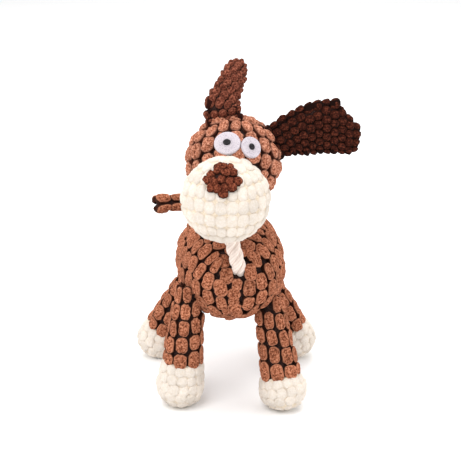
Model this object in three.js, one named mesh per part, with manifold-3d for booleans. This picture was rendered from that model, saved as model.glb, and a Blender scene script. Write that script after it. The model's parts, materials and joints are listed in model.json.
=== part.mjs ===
// A standing plush dog that squeaks when it is squeezed: a stuffed torso with a squeaker in it, four
// stuffed legs with cream paws, a rope neck, a stuffed head with a muzzle, two ears and a tail.
// Millimetres. +Z is up, the dog looks along -Y, and +X is the dog's own left side.

import * as THREE from 'three';
import { mergeVertices } from 'three/addons/utils/BufferGeometryUtils.js';
import Module from 'manifold-3d';

const wasm = await Module();
wasm.setup();

// Cloth and clearances
const coverThick = 4.5;
const seatGap = 0.3;
const swingGap = 1.5;
const overrun = 6;
const solePress = 0.5;

// Torso: an egg that lies along Y
const bodyWidth = 85;
const bodyLength = 124;
const bodyHeight = 79;
const bellyHeight = 65.5;
const bodyPowerShare = 2.4;

// Tufts of the torso and the head. They stand in columns that fan out round an axis at each end of a spine;
// rows lie at a height on the front's middle line and climb away from it over a given length.
const tuftTop = 0.4;
const tuftNotch = 1.6;
const tuftFurrow = 2.9;
const tuftPit = 3.4;
const tuftFade = 5;
const bodyTufts = { columns: 30, row: 14.5, spine: 46, tilt: 5, offset: -0.8, height: 0.9, climb: 13, over: 50 };
const headTufts = { columns: 20, row: 13, spine: 0, tilt: -28, offset: 1, height: -1.1, climb: -7, over: 44 };
const faceLift = 0.5;

// Legs, and the places of the paws on the floor
const hipRadius = 11.5;
const ankleRadius = 16.3;
const frontPawRadius = 18.8;
const rearPawRadius = 18;
const frontRightCollar = 18;
const frontLeftCollar = 8;
const rearCollar = 10;
const frontTrack = bodyWidth * 0.924;
const rearTrack = bodyWidth * 1.324;
const frontReach = bodyLength * 0.298;
const rearReach = bodyLength * 0.355;
const frontStagger = 12;
const rearStagger = 8;
const frontPawShift = 2.4;
const frontHipShares = [0.53, -0.58, -0.34];
const rearHipShares = [0.43, 0.61, -0.4];
const frontHipRoll = 9;
const legSwing = 20;
const pawPowerShare = 2.4;
const sleeveGrowthShares = [[0, 0], [0.35, 0.4], [0.7, 0.75], [1, 1]];
const pawRoundShares = [0, 0.35, 0.6, 0.8, 0.93, 0.99];

// Rope neck: it leaves the chest and enters the head from below
const ropeRadius = 5.75;
const neckSpan = 51;
const neckLean = 14.5;
const neckBack = 8.5;
const chestBallRadius = 8;
const knotRadius = 9.5;
const knotDepth = 9;
const headSeatDepth = 7;
const neckOnBodyShares = [0.05, -0.96, 0.24];
const neckOnHeadShares = [-0.26, -0.11, -0.96];
const neckSway = 25;

// Head, muzzle and face
const headWidth = 70;
const headDepth = 69;
const headHeight = 68;
const muzzleWidth = 64;
const muzzleDepth = 54;
const muzzleHeight = 63;
const muzzlePlaceShares = [-0.23, -1.05, -0.5];
const noseWidth = 27.5;
const noseHeight = 24;
const noseThick = 5;
const noseTaperShare = 0.2;
const noseOnMuzzleShares = [-0.09, -0.7, 0.72];
const eyeThick = 1.4;
const pupilThick = 1;
const rightEyeDiameter = 18.2;
const rightPupilDiameter = 5.2;
const leftEyeDiameter = 15;
const leftPupilDiameter = 4.4;
const rightEyeShares = [-0.186, -0.76, 0.622];
const leftEyeShares = [0.301, -0.793, 0.529];

// Ears
const earThick = 10.5;
const earCoverThick = 3;
const earRootRadius = 4;
const earSeatDepth = 0.5;
const rightEarLength = 46.5;
const rightEarRootWidth = 27.5;
const leftEarLength = 58;
const leftEarRootWidth = 28.5;
const rightEarTilt = 28.6;
const rightEarLean = 45;
const rightEarFlop = [-30, 80];
const leftEarTilt = 84;
const leftEarLean = 0;
const leftEarFlop = [-50, 50];
const rightEarShares = [-0.2, 0.08, 0.96];
const leftEarShares = [0.91, 0, 0.42];
const rightEarCurveShare = 0.16;
const leftEarCurveShare = 0.35;
const earRootRollShare = 0.84;
// Ears' sections: share of the length, half width, shift of the middle to the lower side, share of the thickness
const rightEarOutline = [
  { at: 0, wide: 13.8, side: 0, thick: 0.8 },
  { at: 0.09, wide: 13.1, side: 0, thick: 0.88 },
  { at: 0.22, wide: 12, side: 0, thick: 0.95 },
  { at: 0.45, wide: 10.3, side: 0, thick: 1 },
  { at: 0.68, wide: 9.4, side: 0, thick: 1 },
  { at: 0.86, wide: 8.1, side: 0, thick: 0.9 },
  { at: 0.96, wide: 5.3, side: 0, thick: 0.7 },
  { at: 1, wide: 2.7, side: 0, thick: 0.45 },
];
const leftEarOutline = [
  { at: 0, wide: 14.1, side: 0, thick: 0.8 },
  { at: 0.2, wide: 17.7, side: 0, thick: 0.95 },
  { at: 0.45, wide: 20.2, side: -1.8, thick: 1 },
  { at: 0.68, wide: 20.6, side: -1.8, thick: 1 },
  { at: 0.82, wide: 16, side: 3.3, thick: 0.95 },
  { at: 0.92, wide: 12.9, side: 6.2, thick: 0.85 },
  { at: 0.97, wide: 9.6, side: 6.3, thick: 0.7 },
  { at: 1, wide: 5.2, side: 6.3, thick: 0.45 },
];

// Tail
const tailRadius = 8.2;
const tailLength = 69;
const tailWag = 30;
const tailOnBodyShares = [0, 0.93, 0.25];
const tailPathShares = [
  [0, 0, 0],
  [-0.1, 0.17, 0.06],
  [-0.32, 0.25, 0.1],
  [-0.6, 0.25, 0.11],
  [-0.84, 0.17, 0.11],
];
const tailOutlineShares = [[0.04, 0.95], [0.35, 0.94], [0.7, 1], [0.88, 0.92], [0.96, 0.66], [1, 0.3]];

// Squeaker: a blown plastic disc with a reed holder in its mouth
const bulbDiameter = 42;
const bulbHeight = 22;
const bulbWall = 1.2;
const bulbRimShare = 0.5;
const mouthRadius = 4.5;
const holderLength = 11;
const holderBore = 2.6;
const flangeRadius = 7.2;
const flangeThick = 1.6;
const reedWidth = 4.3;
const reedThick = 0.5;
const reedLength = 8;
const slitRadius = 8;

// Facet counts
const eggSides = 20;
const eggStations = 11;
const padStations = 7;
const limbSides = 12;
const smallSides = 10;
const columnSteps = 16;
const tuftEnd = 3;

const colours = {
  brown: 0xa5644b,
  darkBrown: 0x5f3226,
  cream: 0xefe3d2,
  rope: 0xeedfd2,
  white: 0xeae3ea,
  black: 0x161216,
  wadding: 0xf4f2ee,
  plastic: 0xf6f6f4,
  reed: 0xc9c9cc,
};

const radians = THREE.MathUtils.degToRad;
const origin = new THREE.Vector3();
const xAxis = new THREE.Vector3(1, 0, 0);
const yAxis = new THREE.Vector3(0, 1, 0);
const zAxis = new THREE.Vector3(0, 0, 1);

// A closed mesh becomes a solid for cutting and joining, and back
function solidOf(geometry) {
  const bare = geometry.clone();
  for (const name of Object.keys(bare.attributes)) {
    if (name !== 'position') bare.deleteAttribute(name);
  }
  const merged = mergeVertices(bare);
  return new wasm.Manifold(new wasm.Mesh({
    numProp: 3,
    vertProperties: new Float32Array(merged.attributes.position.array),
    triVerts: new Uint32Array(merged.index.array),
  }));
}

function geometryOf(solid) {
  const mesh = solid.getMesh();
  const geometry = new THREE.BufferGeometry();
  geometry.setAttribute('position', new THREE.BufferAttribute(mesh.vertProperties, 3));
  geometry.setIndex(new THREE.BufferAttribute(mesh.triVerts, 1));
  geometry.computeVertexNormals();
  return geometry;
}

function cut(geometry, ...tools) {
  return geometryOf(tools.reduce((solid, tool) => solid.subtract(solidOf(tool)), solidOf(geometry)));
}

function join(...geometries) {
  return geometryOf(geometries.map(solidOf).reduce((whole, piece) => whole.add(piece)));
}

function common(first, second) {
  return geometryOf(solidOf(first).intersect(solidOf(second)));
}

function at(geometry, place) {
  return geometry.clone().translate(place.x, place.y, place.z);
}

// Turns a geometry so that its own axis points along a direction
function facing(geometry, ownAxis, direction) {
  const turn = new THREE.Quaternion().setFromUnitVectors(ownAxis, direction.clone().normalize());
  return geometry.clone().applyQuaternion(turn);
}

// A closed skin over rings of points, with a flat cap at each end
function skin(rings) {
  const sides = rings[0].length;
  const points = rings.flat();
  const middle = (ring) => ring.reduce((sum, point) => sum.add(point), new THREE.Vector3()).divideScalar(sides);
  const lastStart = points.length - sides;
  const firstCap = points.length;
  const lastCap = firstCap + 1;
  points.push(middle(rings[0]), middle(rings[rings.length - 1]));
  const indices = [];
  for (let side = 0; side < sides; side += 1) {
    const next = (side + 1) % sides;
    for (let start = 0; start < lastStart; start += sides) {
      const above = start + sides;
      indices.push(start + side, start + next, above + next, start + side, above + next, above + side);
    }
    indices.push(firstCap, next, side, lastCap, lastStart + side, lastStart + next);
  }
  const geometry = new THREE.BufferGeometry().setFromPoints(points);
  return geometry.setIndex(indices);
}

// An egg with its length along Y, of a given half size, grown by a margin all round
function egg(shape, margin = 0, stations = eggStations) {
  const half = shape.half.clone().addScalar(margin);
  const rings = Array.from({ length: stations }, (_, station) => {
    const along = -Math.cos(Math.PI * (station + 0.5) / stations);
    const round = (1 - Math.abs(along) ** shape.power) ** (1 / shape.power);
    return Array.from({ length: eggSides }, (__, side) => {
      const angle = 2 * Math.PI * side / eggSides;
      const across = half.x * round * Math.cos(angle);
      return new THREE.Vector3(across, half.y * along, -half.z * round * Math.sin(angle));
    });
  });
  return skin(rings);
}

function eggShape(width, length, height, power = 2) {
  return { half: new THREE.Vector3(width / 2, length / 2, height / 2), power };
}

// Where a direction from an egg's centre leaves its surface
function onEgg(shape, direction) {
  const scaled = direction.clone().divide(shape.half);
  const reach = Math.hypot(scaled.x, scaled.z) ** shape.power + Math.abs(scaled.y) ** shape.power;
  return direction.clone().multiplyScalar(reach ** (-1 / shape.power));
}

// The outward normal at a point of an egg's surface
function normalOn(shape, point) {
  const scaled = point.clone().divide(shape.half);
  const ring = Math.hypot(scaled.x, scaled.z) ** (shape.power - 2);
  const along = Math.abs(scaled.y) ** (shape.power - 2);
  return new THREE.Vector3(ring * scaled.x, along * scaled.y, ring * scaled.z).divide(shape.half).normalize();
}

// Heights up a column of tufts, from the lowest to the highest, with the points of the egg there
function columnLine(shape, { spine, tilt }, across) {
  const end = Math.sign(across.y) * Math.min(Math.abs(across.y), spine);
  const start = new THREE.Vector3(0, end, 0);
  const level = new THREE.Vector3(across.x, across.y - end, 0).normalize();
  const line = [];
  for (let step = -columnSteps; step <= columnSteps; step += 1) {
    const climb = Math.PI / 2 * step / columnSteps;
    const way = level.clone().multiplyScalar(Math.cos(climb)).setZ(Math.sin(climb));
    way.applyAxisAngle(xAxis, radians(tilt));
    line.push(leaving(shape, start, way));
  }
  const heights = [0];
  for (let step = 1; step < line.length; step += 1) {
    heights.push(heights[step - 1] + line[step].distanceTo(line[step - 1]));
  }
  const middle = heights[columnSteps];
  return { line, heights: heights.map((height) => height - middle) };
}

// Where a ray from inside an egg leaves it
function leaving(shape, start, way) {
  let low = 0;
  let high = 2 * shape.half.length();
  for (let step = 0; step < 30; step += 1) {
    const middle = (low + high) / 2;
    const scaled = start.clone().addScaledVector(way, middle).divide(shape.half);
    const reach = Math.hypot(scaled.x, scaled.z) ** shape.power + Math.abs(scaled.y) ** shape.power;
    if (reach < 1) low = middle;
    else high = middle;
  }
  return start.clone().addScaledVector(way, low);
}

function pointAt({ line, heights }, height) {
  const above = THREE.MathUtils.clamp(heights.findIndex((value) => value > height), 1, line.length - 1);
  const share = (height - heights[above - 1]) / (heights[above] - heights[above - 1]);
  return line[above - 1].clone().lerp(line[above], share);
}

// The egg's equator as points at even lengths round it, from the front over the dog's left side
function equatorPoints(shape, count, offset) {
  const table = Array.from({ length: 401 }, (_, step) => {
    const angle = 2 * Math.PI * step / 400 - Math.PI / 2;
    const direction = new THREE.Vector3(Math.cos(angle) * shape.half.x, Math.sin(angle) * shape.half.y, 0);
    return onEgg(shape, direction);
  });
  const lengths = [0];
  table.slice(1).forEach((point, step) => lengths.push(lengths[step] + point.distanceTo(table[step])));
  const around = lengths[400];
  return Array.from({ length: count }, (_, index) => {
    const across = around * index / count + offset;
    const point = pointAt({ line: table, heights: lengths }, (across + around) % around);
    return { point, fromEnd: Math.min(Math.abs(across), Math.abs(around / 2 - across), Math.abs(around - across)) };
  });
}

// A tufted egg: a point at each tuft's middle, in each furrow and notch, and in the pit between four tufts.
// Where a seat is, given as a place and a reach, the plush is flat and stands out by a lift.
function tufted(shape, tufts, seats, lift = 0) {
  const points = [];
  const columns = equatorPoints(shape, tufts.columns * 2, tufts.offset).map(({ point, fromEnd }, index) => {
    const column = columnLine(shape, tufts, point);
    const rise = Math.sin(Math.PI / 2 * Math.min(1, fromEnd / tufts.over)) ** 2;
    const base = tufts.height + tufts.climb * rise;
    const top = column.heights[column.heights.length - 1] - tuftEnd;
    const bottom = column.heights[0] + tuftEnd;
    const low = Math.ceil((bottom - base) / tufts.row * 2);
    const high = Math.floor((top - base) / tufts.row * 2);
    const first = points.length;
    for (let half = low; half <= high; half += 1) {
      const height = base + half * tufts.row / 2;
      const point = pointAt(column, height);
      const spread = Math.cos(Math.PI / 2 * Math.abs(height) / (height > 0 ? top + tuftEnd : tuftEnd - bottom));
      const furrow = index % 2 === 0 ? 0 : THREE.MathUtils.smoothstep(spread, 0.15, 0.6);
      const notch = half % 2 === 0 ? 0 : 1;
      const across = furrow * THREE.MathUtils.lerp(tuftFurrow, tuftPit, notch);
      const clear = Math.max(...seats.map(({ place, reach }) => (
        1 - THREE.MathUtils.smoothstep(point.distanceTo(place), reach, reach + tuftFade)
      )));
      const depth = THREE.MathUtils.lerp(Math.max(across, notch * tuftNotch, tuftTop), -lift, clear);
      points.push(point.addScaledVector(normalOn(shape, point), -depth));
    }
    return { first, low, high };
  });
  return new THREE.BufferGeometry().setFromPoints(points).setIndex(tuftedFaces(columns));
}

// Faces between columns of points, which may differ in their numbers of rows, and over both poles
function tuftedFaces(columns) {
  const indices = [];
  const count = columns.length;
  const point = ({ first, low }, half) => first + half - low;
  columns.forEach((here, index) => {
    const next = columns[(index + 1) % count];
    const low = Math.max(here.low, next.low);
    const high = Math.min(here.high, next.high);
    for (let half = low; half < high; half += 1) {
      const [a, b] = [point(here, half), point(next, half)];
      if ((index + half) % 2 === 0) indices.push(a, b, a + 1, b, b + 1, a + 1);
      else indices.push(a, b, b + 1, a, b + 1, a + 1);
    }
    for (let half = here.low; half < low; half += 1) {
      indices.push(point(here, half), point(next, low), point(here, half + 1));
    }
    for (let half = next.low; half < low; half += 1) {
      indices.push(point(here, low), point(next, half), point(next, half + 1));
    }
    for (let half = high; half < here.high; half += 1) {
      indices.push(point(here, half), point(next, high), point(here, half + 1));
    }
    for (let half = high; half < next.high; half += 1) {
      indices.push(point(here, high), point(next, half), point(next, half + 1));
    }
  });
  const tops = columns.map((column) => point(column, column.high));
  const bottoms = columns.map((column) => column.first);
  for (let index = 0; index < count / 2; index += 1) {
    const [left, right] = [(count - index) % count, index];
    const [leftNext, rightNext] = [count - index - 1, index + 1];
    if (left !== right) {
      indices.push(tops[left], tops[right], tops[leftNext]);
      indices.push(bottoms[right], bottoms[left], bottoms[leftNext]);
    }
    if (leftNext !== rightNext) {
      indices.push(tops[right], tops[rightNext], tops[leftNext]);
      indices.push(bottoms[rightNext], bottoms[right], bottoms[leftNext]);
    }
  }
  return indices;
}

// The larger piece's egg, turned through a hinge's range as the moving piece sees it
function sweptEgg(shape, centre, axis, low, high, margin) {
  return [-high, -(low + high) / 2, -low].map((turn) => {
    const place = new THREE.Matrix4().makeTranslation(centre);
    const swing = new THREE.Matrix4().makeRotationAxis(axis, radians(turn));
    return egg(shape, margin).applyMatrix4(place).applyMatrix4(swing);
  });
}

// Rings along a path, each with a half width and a half thickness, the thickness along a facing axis.
// A distance before or after the path runs straight on, and side moves a ring's middle along its width.
function alongPath(path, faceAxis, sections, sides = limbSides) {
  const length = path.getLength();
  return skin(sections.map(({ at: distance, wide, thick = wide, side: aside = 0 }) => {
    const share = THREE.MathUtils.clamp(distance / length, 0, 1);
    const tangent = path.getTangentAt(share);
    const centre = path.getPointAt(share).addScaledVector(tangent, distance - share * length);
    const wideAxis = new THREE.Vector3().crossVectors(faceAxis, tangent).normalize();
    const thickAxis = new THREE.Vector3().crossVectors(tangent, wideAxis);
    centre.addScaledVector(wideAxis, aside);
    return Array.from({ length: sides }, (_, side) => {
      const angle = 2 * Math.PI * side / sides;
      return centre.clone()
        .addScaledVector(wideAxis, wide * Math.cos(angle))
        .addScaledVector(thickAxis, thick * Math.sin(angle));
    });
  }));
}

// A ball with its poles on the axis that it turns about
function ball(radius, axis) {
  return facing(new THREE.SphereGeometry(radius, limbSides, limbSides / 2), yAxis, axis);
}

// A seat whose flats still clear the turning ball by the seat gap
function socket(radius, axis) {
  return ball((radius + seatGap) / Math.cos(Math.PI / limbSides), axis);
}

function rod(radius, length, direction) {
  return facing(new THREE.CylinderGeometry(radius, radius, length, smallSides), yAxis, direction);
}

// A bore whose flats still clear a rod by the seat gap
function bore(radius, length, direction) {
  return rod((radius + seatGap) / Math.cos(Math.PI / smallSides), length, direction);
}

function named(name, geometry, color, roughness = 0.95) {
  const mesh = new THREE.Mesh(geometry, new THREE.MeshStandardMaterial({ color, roughness, metalness: 0 }));
  mesh.name = name;
  return mesh;
}

function groupAt(name, position) {
  const group = new THREE.Group();
  group.name = name;
  group.position.copy(position);
  return group;
}

// Places that several pieces share
const body = eggShape(bodyWidth, bodyLength, bodyHeight, bodyPowerShare);
const head = eggShape(headWidth, headDepth, headHeight);
const muzzle = eggShape(muzzleWidth, muzzleDepth, muzzleHeight);
const bodyCentre = new THREE.Vector3(0, 0, bellyHeight + bodyHeight / 2);
const neckOnBody = onEgg(body, new THREE.Vector3(...neckOnBodyShares));
const chestNormal = normalOn(body, neckOnBody);
const chestPivot = neckOnBody.clone().addScaledVector(chestNormal, -coverThick / 2).add(bodyCentre);
const leanSine = Math.sin(radians(neckLean));
const backSine = Math.sin(radians(neckBack));
const neckAxis = new THREE.Vector3(-leanSine, backSine, Math.sqrt(1 - leanSine ** 2 - backSine ** 2));
const neckBend = chestPivot.clone().addScaledVector(neckAxis, neckSpan / 2);
const neckEnd = chestPivot.clone().addScaledVector(neckAxis, neckSpan);
const headCentre = neckEnd.clone().sub(onEgg(head, new THREE.Vector3(...neckOnHeadShares)));
const muzzleOffset = new THREE.Vector3(...muzzlePlaceShares).multiply(head.half);
const tailOnBody = onEgg(body, new THREE.Vector3(...tailOnBodyShares));
const tailPivot = tailOnBody.clone().add(bodyCentre);

// Hips lie on the torso's skin; the front pair is rolled about the torso's length
function hipPlace(shares, side, roll) {
  const direction = new THREE.Vector3(side * shares[0], shares[1], shares[2]);
  return onEgg(body, direction.applyAxisAngle(yAxis, radians(roll))).add(bodyCentre);
}

// Height of a tilted paw's centre when its lowest point passes the floor by the sole's press
function pawHeight(radius, hip, x, y) {
  const lean = Math.atan2(Math.hypot(x - hip.x, y - hip.y), hip.z - radius);
  const dual = pawPowerShare / (pawPowerShare - 1);
  return radius * (Math.sin(lean) ** dual + Math.cos(lean) ** dual) ** (1 / dual) - solePress;
}

function frontLeg(name, side, collar) {
  const hip = hipPlace(frontHipShares, side, frontHipRoll);
  const x = side * frontTrack / 2 - frontPawShift;
  const y = side > 0 ? -frontReach - frontStagger : -frontReach;
  const paw = new THREE.Vector3(x, y, pawHeight(frontPawRadius, hip, x, y));
  return { name, hip, radius: frontPawRadius, collar, foot: paw.sub(hip) };
}

function rearLeg(name, side) {
  const hip = hipPlace(rearHipShares, side, 0);
  const x = side * rearTrack / 2;
  const y = side < 0 ? rearReach + rearStagger : rearReach;
  const paw = new THREE.Vector3(x, y, pawHeight(rearPawRadius, hip, x, y));
  return { name, hip, radius: rearPawRadius, collar: rearCollar, foot: paw.sub(hip) };
}

const legs = [
  frontLeg('front_right', -1, frontRightCollar),
  frontLeg('front_left', 1, frontLeftCollar),
  rearLeg('rear_right', -1),
  rearLeg('rear_left', 1),
];

// A leg's sleeve widens from the hip to the ankle
function sleeveSections(ankle, inset) {
  const growth = ankleRadius - hipRadius;
  return sleeveGrowthShares.map(([along, grown]) => (
    { at: ankle * along, wide: hipRadius + growth * grown - inset }
  ));
}

// A paw swells below the ankle and closes in a blunt round end
function pawSections(radius, centreAt, collar, inset) {
  const upper = { at: centreAt - collar / 2, wide: (radius + ankleRadius) / 2 - inset };
  return [upper, ...pawRoundShares.map((share) => {
    const round = (1 - share ** pawPowerShare) ** (1 / pawPowerShare);
    return { at: centreAt + (radius - inset) * share, wide: (radius - inset) * round };
  })];
}

// A leg is a brown sleeve with a ball at the hip, a cream paw with a flat sole, and their stuffing
function leg({ name, hip, radius, collar, foot }) {
  const group = groupAt(`leg_${name}`, hip);
  const path = new THREE.LineCurve3(origin, foot);
  const centreAt = foot.length();
  const ankle = centreAt - collar;
  const bodyFromHip = bodyCentre.clone().sub(hip);
  const bodyCuts = (inset) => sweptEgg(body, bodyFromHip, xAxis, -legSwing, legSwing, swingGap + inset);
  const round = (sections, sides) => alongPath(path, yAxis, sections, sides);

  const shaft = cut(round(sleeveSections(ankle, 0)), ...bodyCuts(0));
  const hollowEnd = { at: ankle + overrun, wide: ankleRadius - coverThick };
  const hollow = cut(round([...sleeveSections(ankle, coverThick), hollowEnd], smallSides), ...bodyCuts(coverThick));
  const sleeve = cut(join(shaft, ball(hipRadius, xAxis)), hollow);

  const floor = new THREE.BoxGeometry(radius * 4, radius * 4, radius);
  floor.translate(foot.x, foot.y, -hip.z - radius / 2);
  const pawTop = { at: ankle + seatGap, wide: ankleRadius };
  const mouth = { at: ankle - overrun, wide: ankleRadius - coverThick };
  const paw = cut(
    round([pawTop, ...pawSections(radius, centreAt, collar, 0)]),
    floor,
    round([mouth, ...pawSections(radius, centreAt, collar, coverThick)], smallSides),
  );

  const fillInset = coverThick + seatGap;
  const fill = cut(
    round([...sleeveSections(ankle, fillInset), ...pawSections(radius, centreAt, collar, fillInset)], smallSides),
    ...bodyCuts(fillInset),
  );

  group.add(named(`leg_sleeve_${name}`, sleeve, colours.brown));
  group.add(named(`paw_${name}`, paw, colours.cream));
  group.add(named(`leg_stuffing_${name}`, fill, colours.wadding));
  return group;
}

// Squeaker, standing on its mouth: the bulb, the reed holder in its mouth and the reed in the holder
function squeakerPieces() {
  const rim = bulbHeight / 2 * bulbRimShare;
  const profile = (inset, start) => {
    const radius = bulbDiameter / 2 - inset;
    const top = bulbHeight / 2 - inset;
    return [
      new THREE.Vector2(start, -top),
      new THREE.Vector2(radius - rim, -top),
      new THREE.Vector2(radius, -rim),
      new THREE.Vector2(radius, rim),
      new THREE.Vector2(radius - rim, top),
      new THREE.Vector2(0, top),
    ];
  };
  const outline = [...profile(0, mouthRadius), ...profile(bulbWall, mouthRadius).reverse()];
  outline.push(outline[0].clone());
  const bulb = facing(new THREE.LatheGeometry(outline, limbSides), yAxis, zAxis);

  const holderRadius = mouthRadius - 2 * seatGap;
  const flangeTop = -bulbHeight / 2 - seatGap;
  const tube = at(rod(holderRadius, holderLength, zAxis), new THREE.Vector3(0, 0, flangeTop + holderLength / 2));
  const flange = at(rod(flangeRadius, flangeThick, zAxis), new THREE.Vector3(0, 0, flangeTop - flangeThick / 2));
  const drill = rod(holderBore, (holderLength + flangeThick + overrun) * 2, zAxis);
  const holder = cut(join(tube, flange), at(drill, new THREE.Vector3(0, 0, flangeTop)));

  const reed = new THREE.BoxGeometry(reedWidth, reedThick, reedLength);
  reed.translate(0, 0, flangeTop + holderLength / 2);
  return { bulb, holder, reed };
}

function squeakerPocket() {
  const pocket = bore(bulbDiameter / 2 + seatGap, bulbHeight + 2 * seatGap, zAxis);
  const slit = at(rod(slitRadius, bodyHeight, zAxis), new THREE.Vector3(0, 0, -bodyHeight / 2));
  return join(pocket, slit);
}

// Torso: cover, stuffing, the rope's knot inside the chest and the squeaker's fixed pieces
function torso() {
  const group = groupAt('torso', bodyCentre);
  const fromCentre = (point) => point.clone().sub(bodyCentre);
  const sockets = legs.map(({ hip }) => at(socket(hipRadius, xAxis), fromCentre(hip)));
  sockets.push(at(socket(tailRadius, zAxis), tailOnBody));
  sockets.push(at(socket(chestBallRadius, yAxis), fromCentre(chestPivot)));
  const knotCentre = fromCentre(chestPivot).addScaledVector(chestNormal, -chestBallRadius - knotDepth + seatGap);
  const fillInset = coverThick + seatGap;
  const { holder, reed } = squeakerPieces();
  const seats = legs.map(({ hip }) => ({ place: fromCentre(hip), reach: hipRadius }));
  seats.push({ place: tailOnBody, reach: tailRadius });
  seats.push({ place: fromCentre(chestPivot), reach: chestBallRadius });

  const cover = cut(tufted(body, bodyTufts, seats), egg(body, -coverThick), ...sockets);
  const knotHollow = at(ball(knotRadius + 2 * seatGap, yAxis), knotCentre);
  const stuffing = cut(egg(body, -fillInset), ...sockets, knotHollow, squeakerPocket());
  const knot = cut(
    common(at(ball(knotRadius, yAxis), knotCentre), egg(body, -fillInset)),
    at(socket(chestBallRadius, yAxis), fromCentre(chestPivot)),
  );

  group.add(named('body_cover', cover, colours.brown));
  group.add(named('body_stuffing', stuffing, colours.wadding));
  group.add(named('rope_knot_body', knot, colours.rope));
  group.add(named('squeaker_holder', holder, colours.plastic, 0.4));
  group.add(named('squeaker_reed', reed, colours.reed, 0.3));
  return group;
}

function squeaker() {
  const group = groupAt('squeaker', bodyCentre);
  group.add(named('squeaker_bulb', squeakerPieces().bulb, colours.plastic, 0.4));
  return group;
}

// Lower half of the rope: a ball seated in the chest and a shaft up to the bend
function neckLower() {
  const group = groupAt('neck_lower', chestPivot);
  const length = neckSpan / 2;
  const path = new THREE.LineCurve3(origin, neckAxis.clone().multiplyScalar(length));
  const shaft = alongPath(path, yAxis, [{ at: 0, wide: ropeRadius }, { at: length, wide: ropeRadius }], smallSides);
  const bodyCuts = sweptEgg(body, bodyCentre.clone().sub(chestPivot), yAxis, -neckSway, neckSway, swingGap);
  const bendBall = at(ball(ropeRadius, xAxis), neckBend.clone().sub(chestPivot));
  const rope = join(cut(join(shaft, bendBall), ...bodyCuts), ball(chestBallRadius, yAxis));
  group.add(named('neck_rope_lower', rope, colours.rope));
  return group;
}

// Upper half of the rope: it starts in a cup over the bend's ball and ends inside the head
function neckUpper() {
  const group = groupAt('neck_upper', neckBend);
  const length = neckSpan / 2 + headSeatDepth;
  const path = new THREE.LineCurve3(origin, neckAxis.clone().multiplyScalar(length));
  const shaft = alongPath(path, yAxis, [{ at: seatGap, wide: ropeRadius }, { at: length, wide: ropeRadius }],
    smallSides);
  group.add(named('neck_rope_upper', cut(shaft, socket(ropeRadius, xAxis)), colours.rope));
  return group;
}

// A round patch of even thickness that lies on an egg
function patch(shape, direction, radius, low, high) {
  const reach = shape.half.length() * 2;
  const punch = at(rod(radius, reach, direction), direction.clone().setLength(reach / 2));
  return common(cut(egg(shape, high), egg(shape, low)), punch);
}

function eye({ side, shares, diameter, pupil }) {
  const direction = new THREE.Vector3(...shares);
  const pupilLow = eyeThick + 2 * seatGap;
  const felt = patch(head, direction, diameter / 2, seatGap, seatGap + eyeThick);
  const dot = patch(head, direction, pupil / 2, pupilLow, pupilLow + pupilThick);
  return [
    named(`eye_white_${side}`, felt, colours.white),
    named(`pupil_${side}`, dot, colours.black),
  ];
}

// Nose: a stuffed pad, wider above than below, laid on the muzzle's front
function nose() {
  const pad = egg(eggShape(noseWidth, noseThick * 2, noseHeight), 0, padStations);
  const points = pad.attributes.position;
  for (let index = 0; index < points.count; index += 1) {
    points.setX(index, points.getX(index) * (1 + noseTaperShare * points.getZ(index) / noseHeight * 2));
  }
  const place = onEgg(muzzle, new THREE.Vector3(...noseOnMuzzleShares));
  const laid = at(facing(pad, yAxis.clone().negate(), normalOn(muzzle, place)), place);
  return cut(at(laid, muzzleOffset), at(egg(muzzle, seatGap), muzzleOffset));
}

// Head: cover, stuffing and the rope's end knot, with the muzzle, nose and eyes sewn on
function headPieces() {
  const group = groupAt('head', headCentre);
  const seat = neckEnd.clone().sub(headCentre);
  const fillInset = coverThick + seatGap;
  const ropeTop = seat.clone().addScaledVector(neckAxis, headSeatDepth + seatGap);
  const boreLength = headHeight / 2;
  const boreCentre = ropeTop.clone().addScaledVector(neckAxis, -boreLength / 2);
  const ropeBore = at(bore(ropeRadius, boreLength, neckAxis), boreCentre);
  const knotCentre = seat.clone().addScaledVector(neckAxis, headSeatDepth + knotDepth);
  const knot = cut(common(at(ball(knotRadius, yAxis), knotCentre), egg(head, -fillInset)), ropeBore);
  const knotHollow = at(ball(knotRadius + 2 * seatGap, yAxis), knotCentre);

  const eyes = [
    { side: 'right', shares: rightEyeShares, diameter: rightEyeDiameter, pupil: rightPupilDiameter },
    { side: 'left', shares: leftEyeShares, diameter: leftEyeDiameter, pupil: leftPupilDiameter },
  ];
  const seats = eyes.map(({ shares, diameter }) => (
    { place: onEgg(head, new THREE.Vector3(...shares)), reach: diameter / 2 - 1 }
  ));
  for (const [shares, rootWidth] of [[rightEarShares, rightEarRootWidth], [leftEarShares, leftEarRootWidth]]) {
    seats.push({ place: onEgg(head, new THREE.Vector3(...shares)), reach: rootWidth * earRootRollShare / 2 });
  }
  seats.push({ place: seat, reach: ropeRadius });
  seats.push({ place: muzzleOffset, reach: muzzleDepth / 2 });

  const plush = common(egg(head), tufted(head, headTufts, seats, faceLift));
  const cover = cut(plush, egg(head, -coverThick), ropeBore);
  const stuffing = cut(egg(head, -fillInset), ropeBore, knotHollow);
  const muzzleCover = cut(
    at(egg(muzzle), muzzleOffset),
    at(egg(muzzle, -coverThick), muzzleOffset),
    egg(head, seatGap),
  );
  const muzzleFill = cut(at(egg(muzzle, -fillInset), muzzleOffset), egg(head, 2 * seatGap));

  group.add(named('head_cover', cover, colours.brown));
  group.add(named('head_stuffing', stuffing, colours.wadding));
  group.add(named('rope_knot_head', knot, colours.rope));
  group.add(named('muzzle_cover', muzzleCover, colours.cream));
  group.add(named('muzzle_stuffing', muzzleFill, colours.wadding));
  group.add(named('nose_patch', nose(), colours.darkBrown));
  group.add(...eyes.flatMap(eye));
  return group;
}

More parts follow.
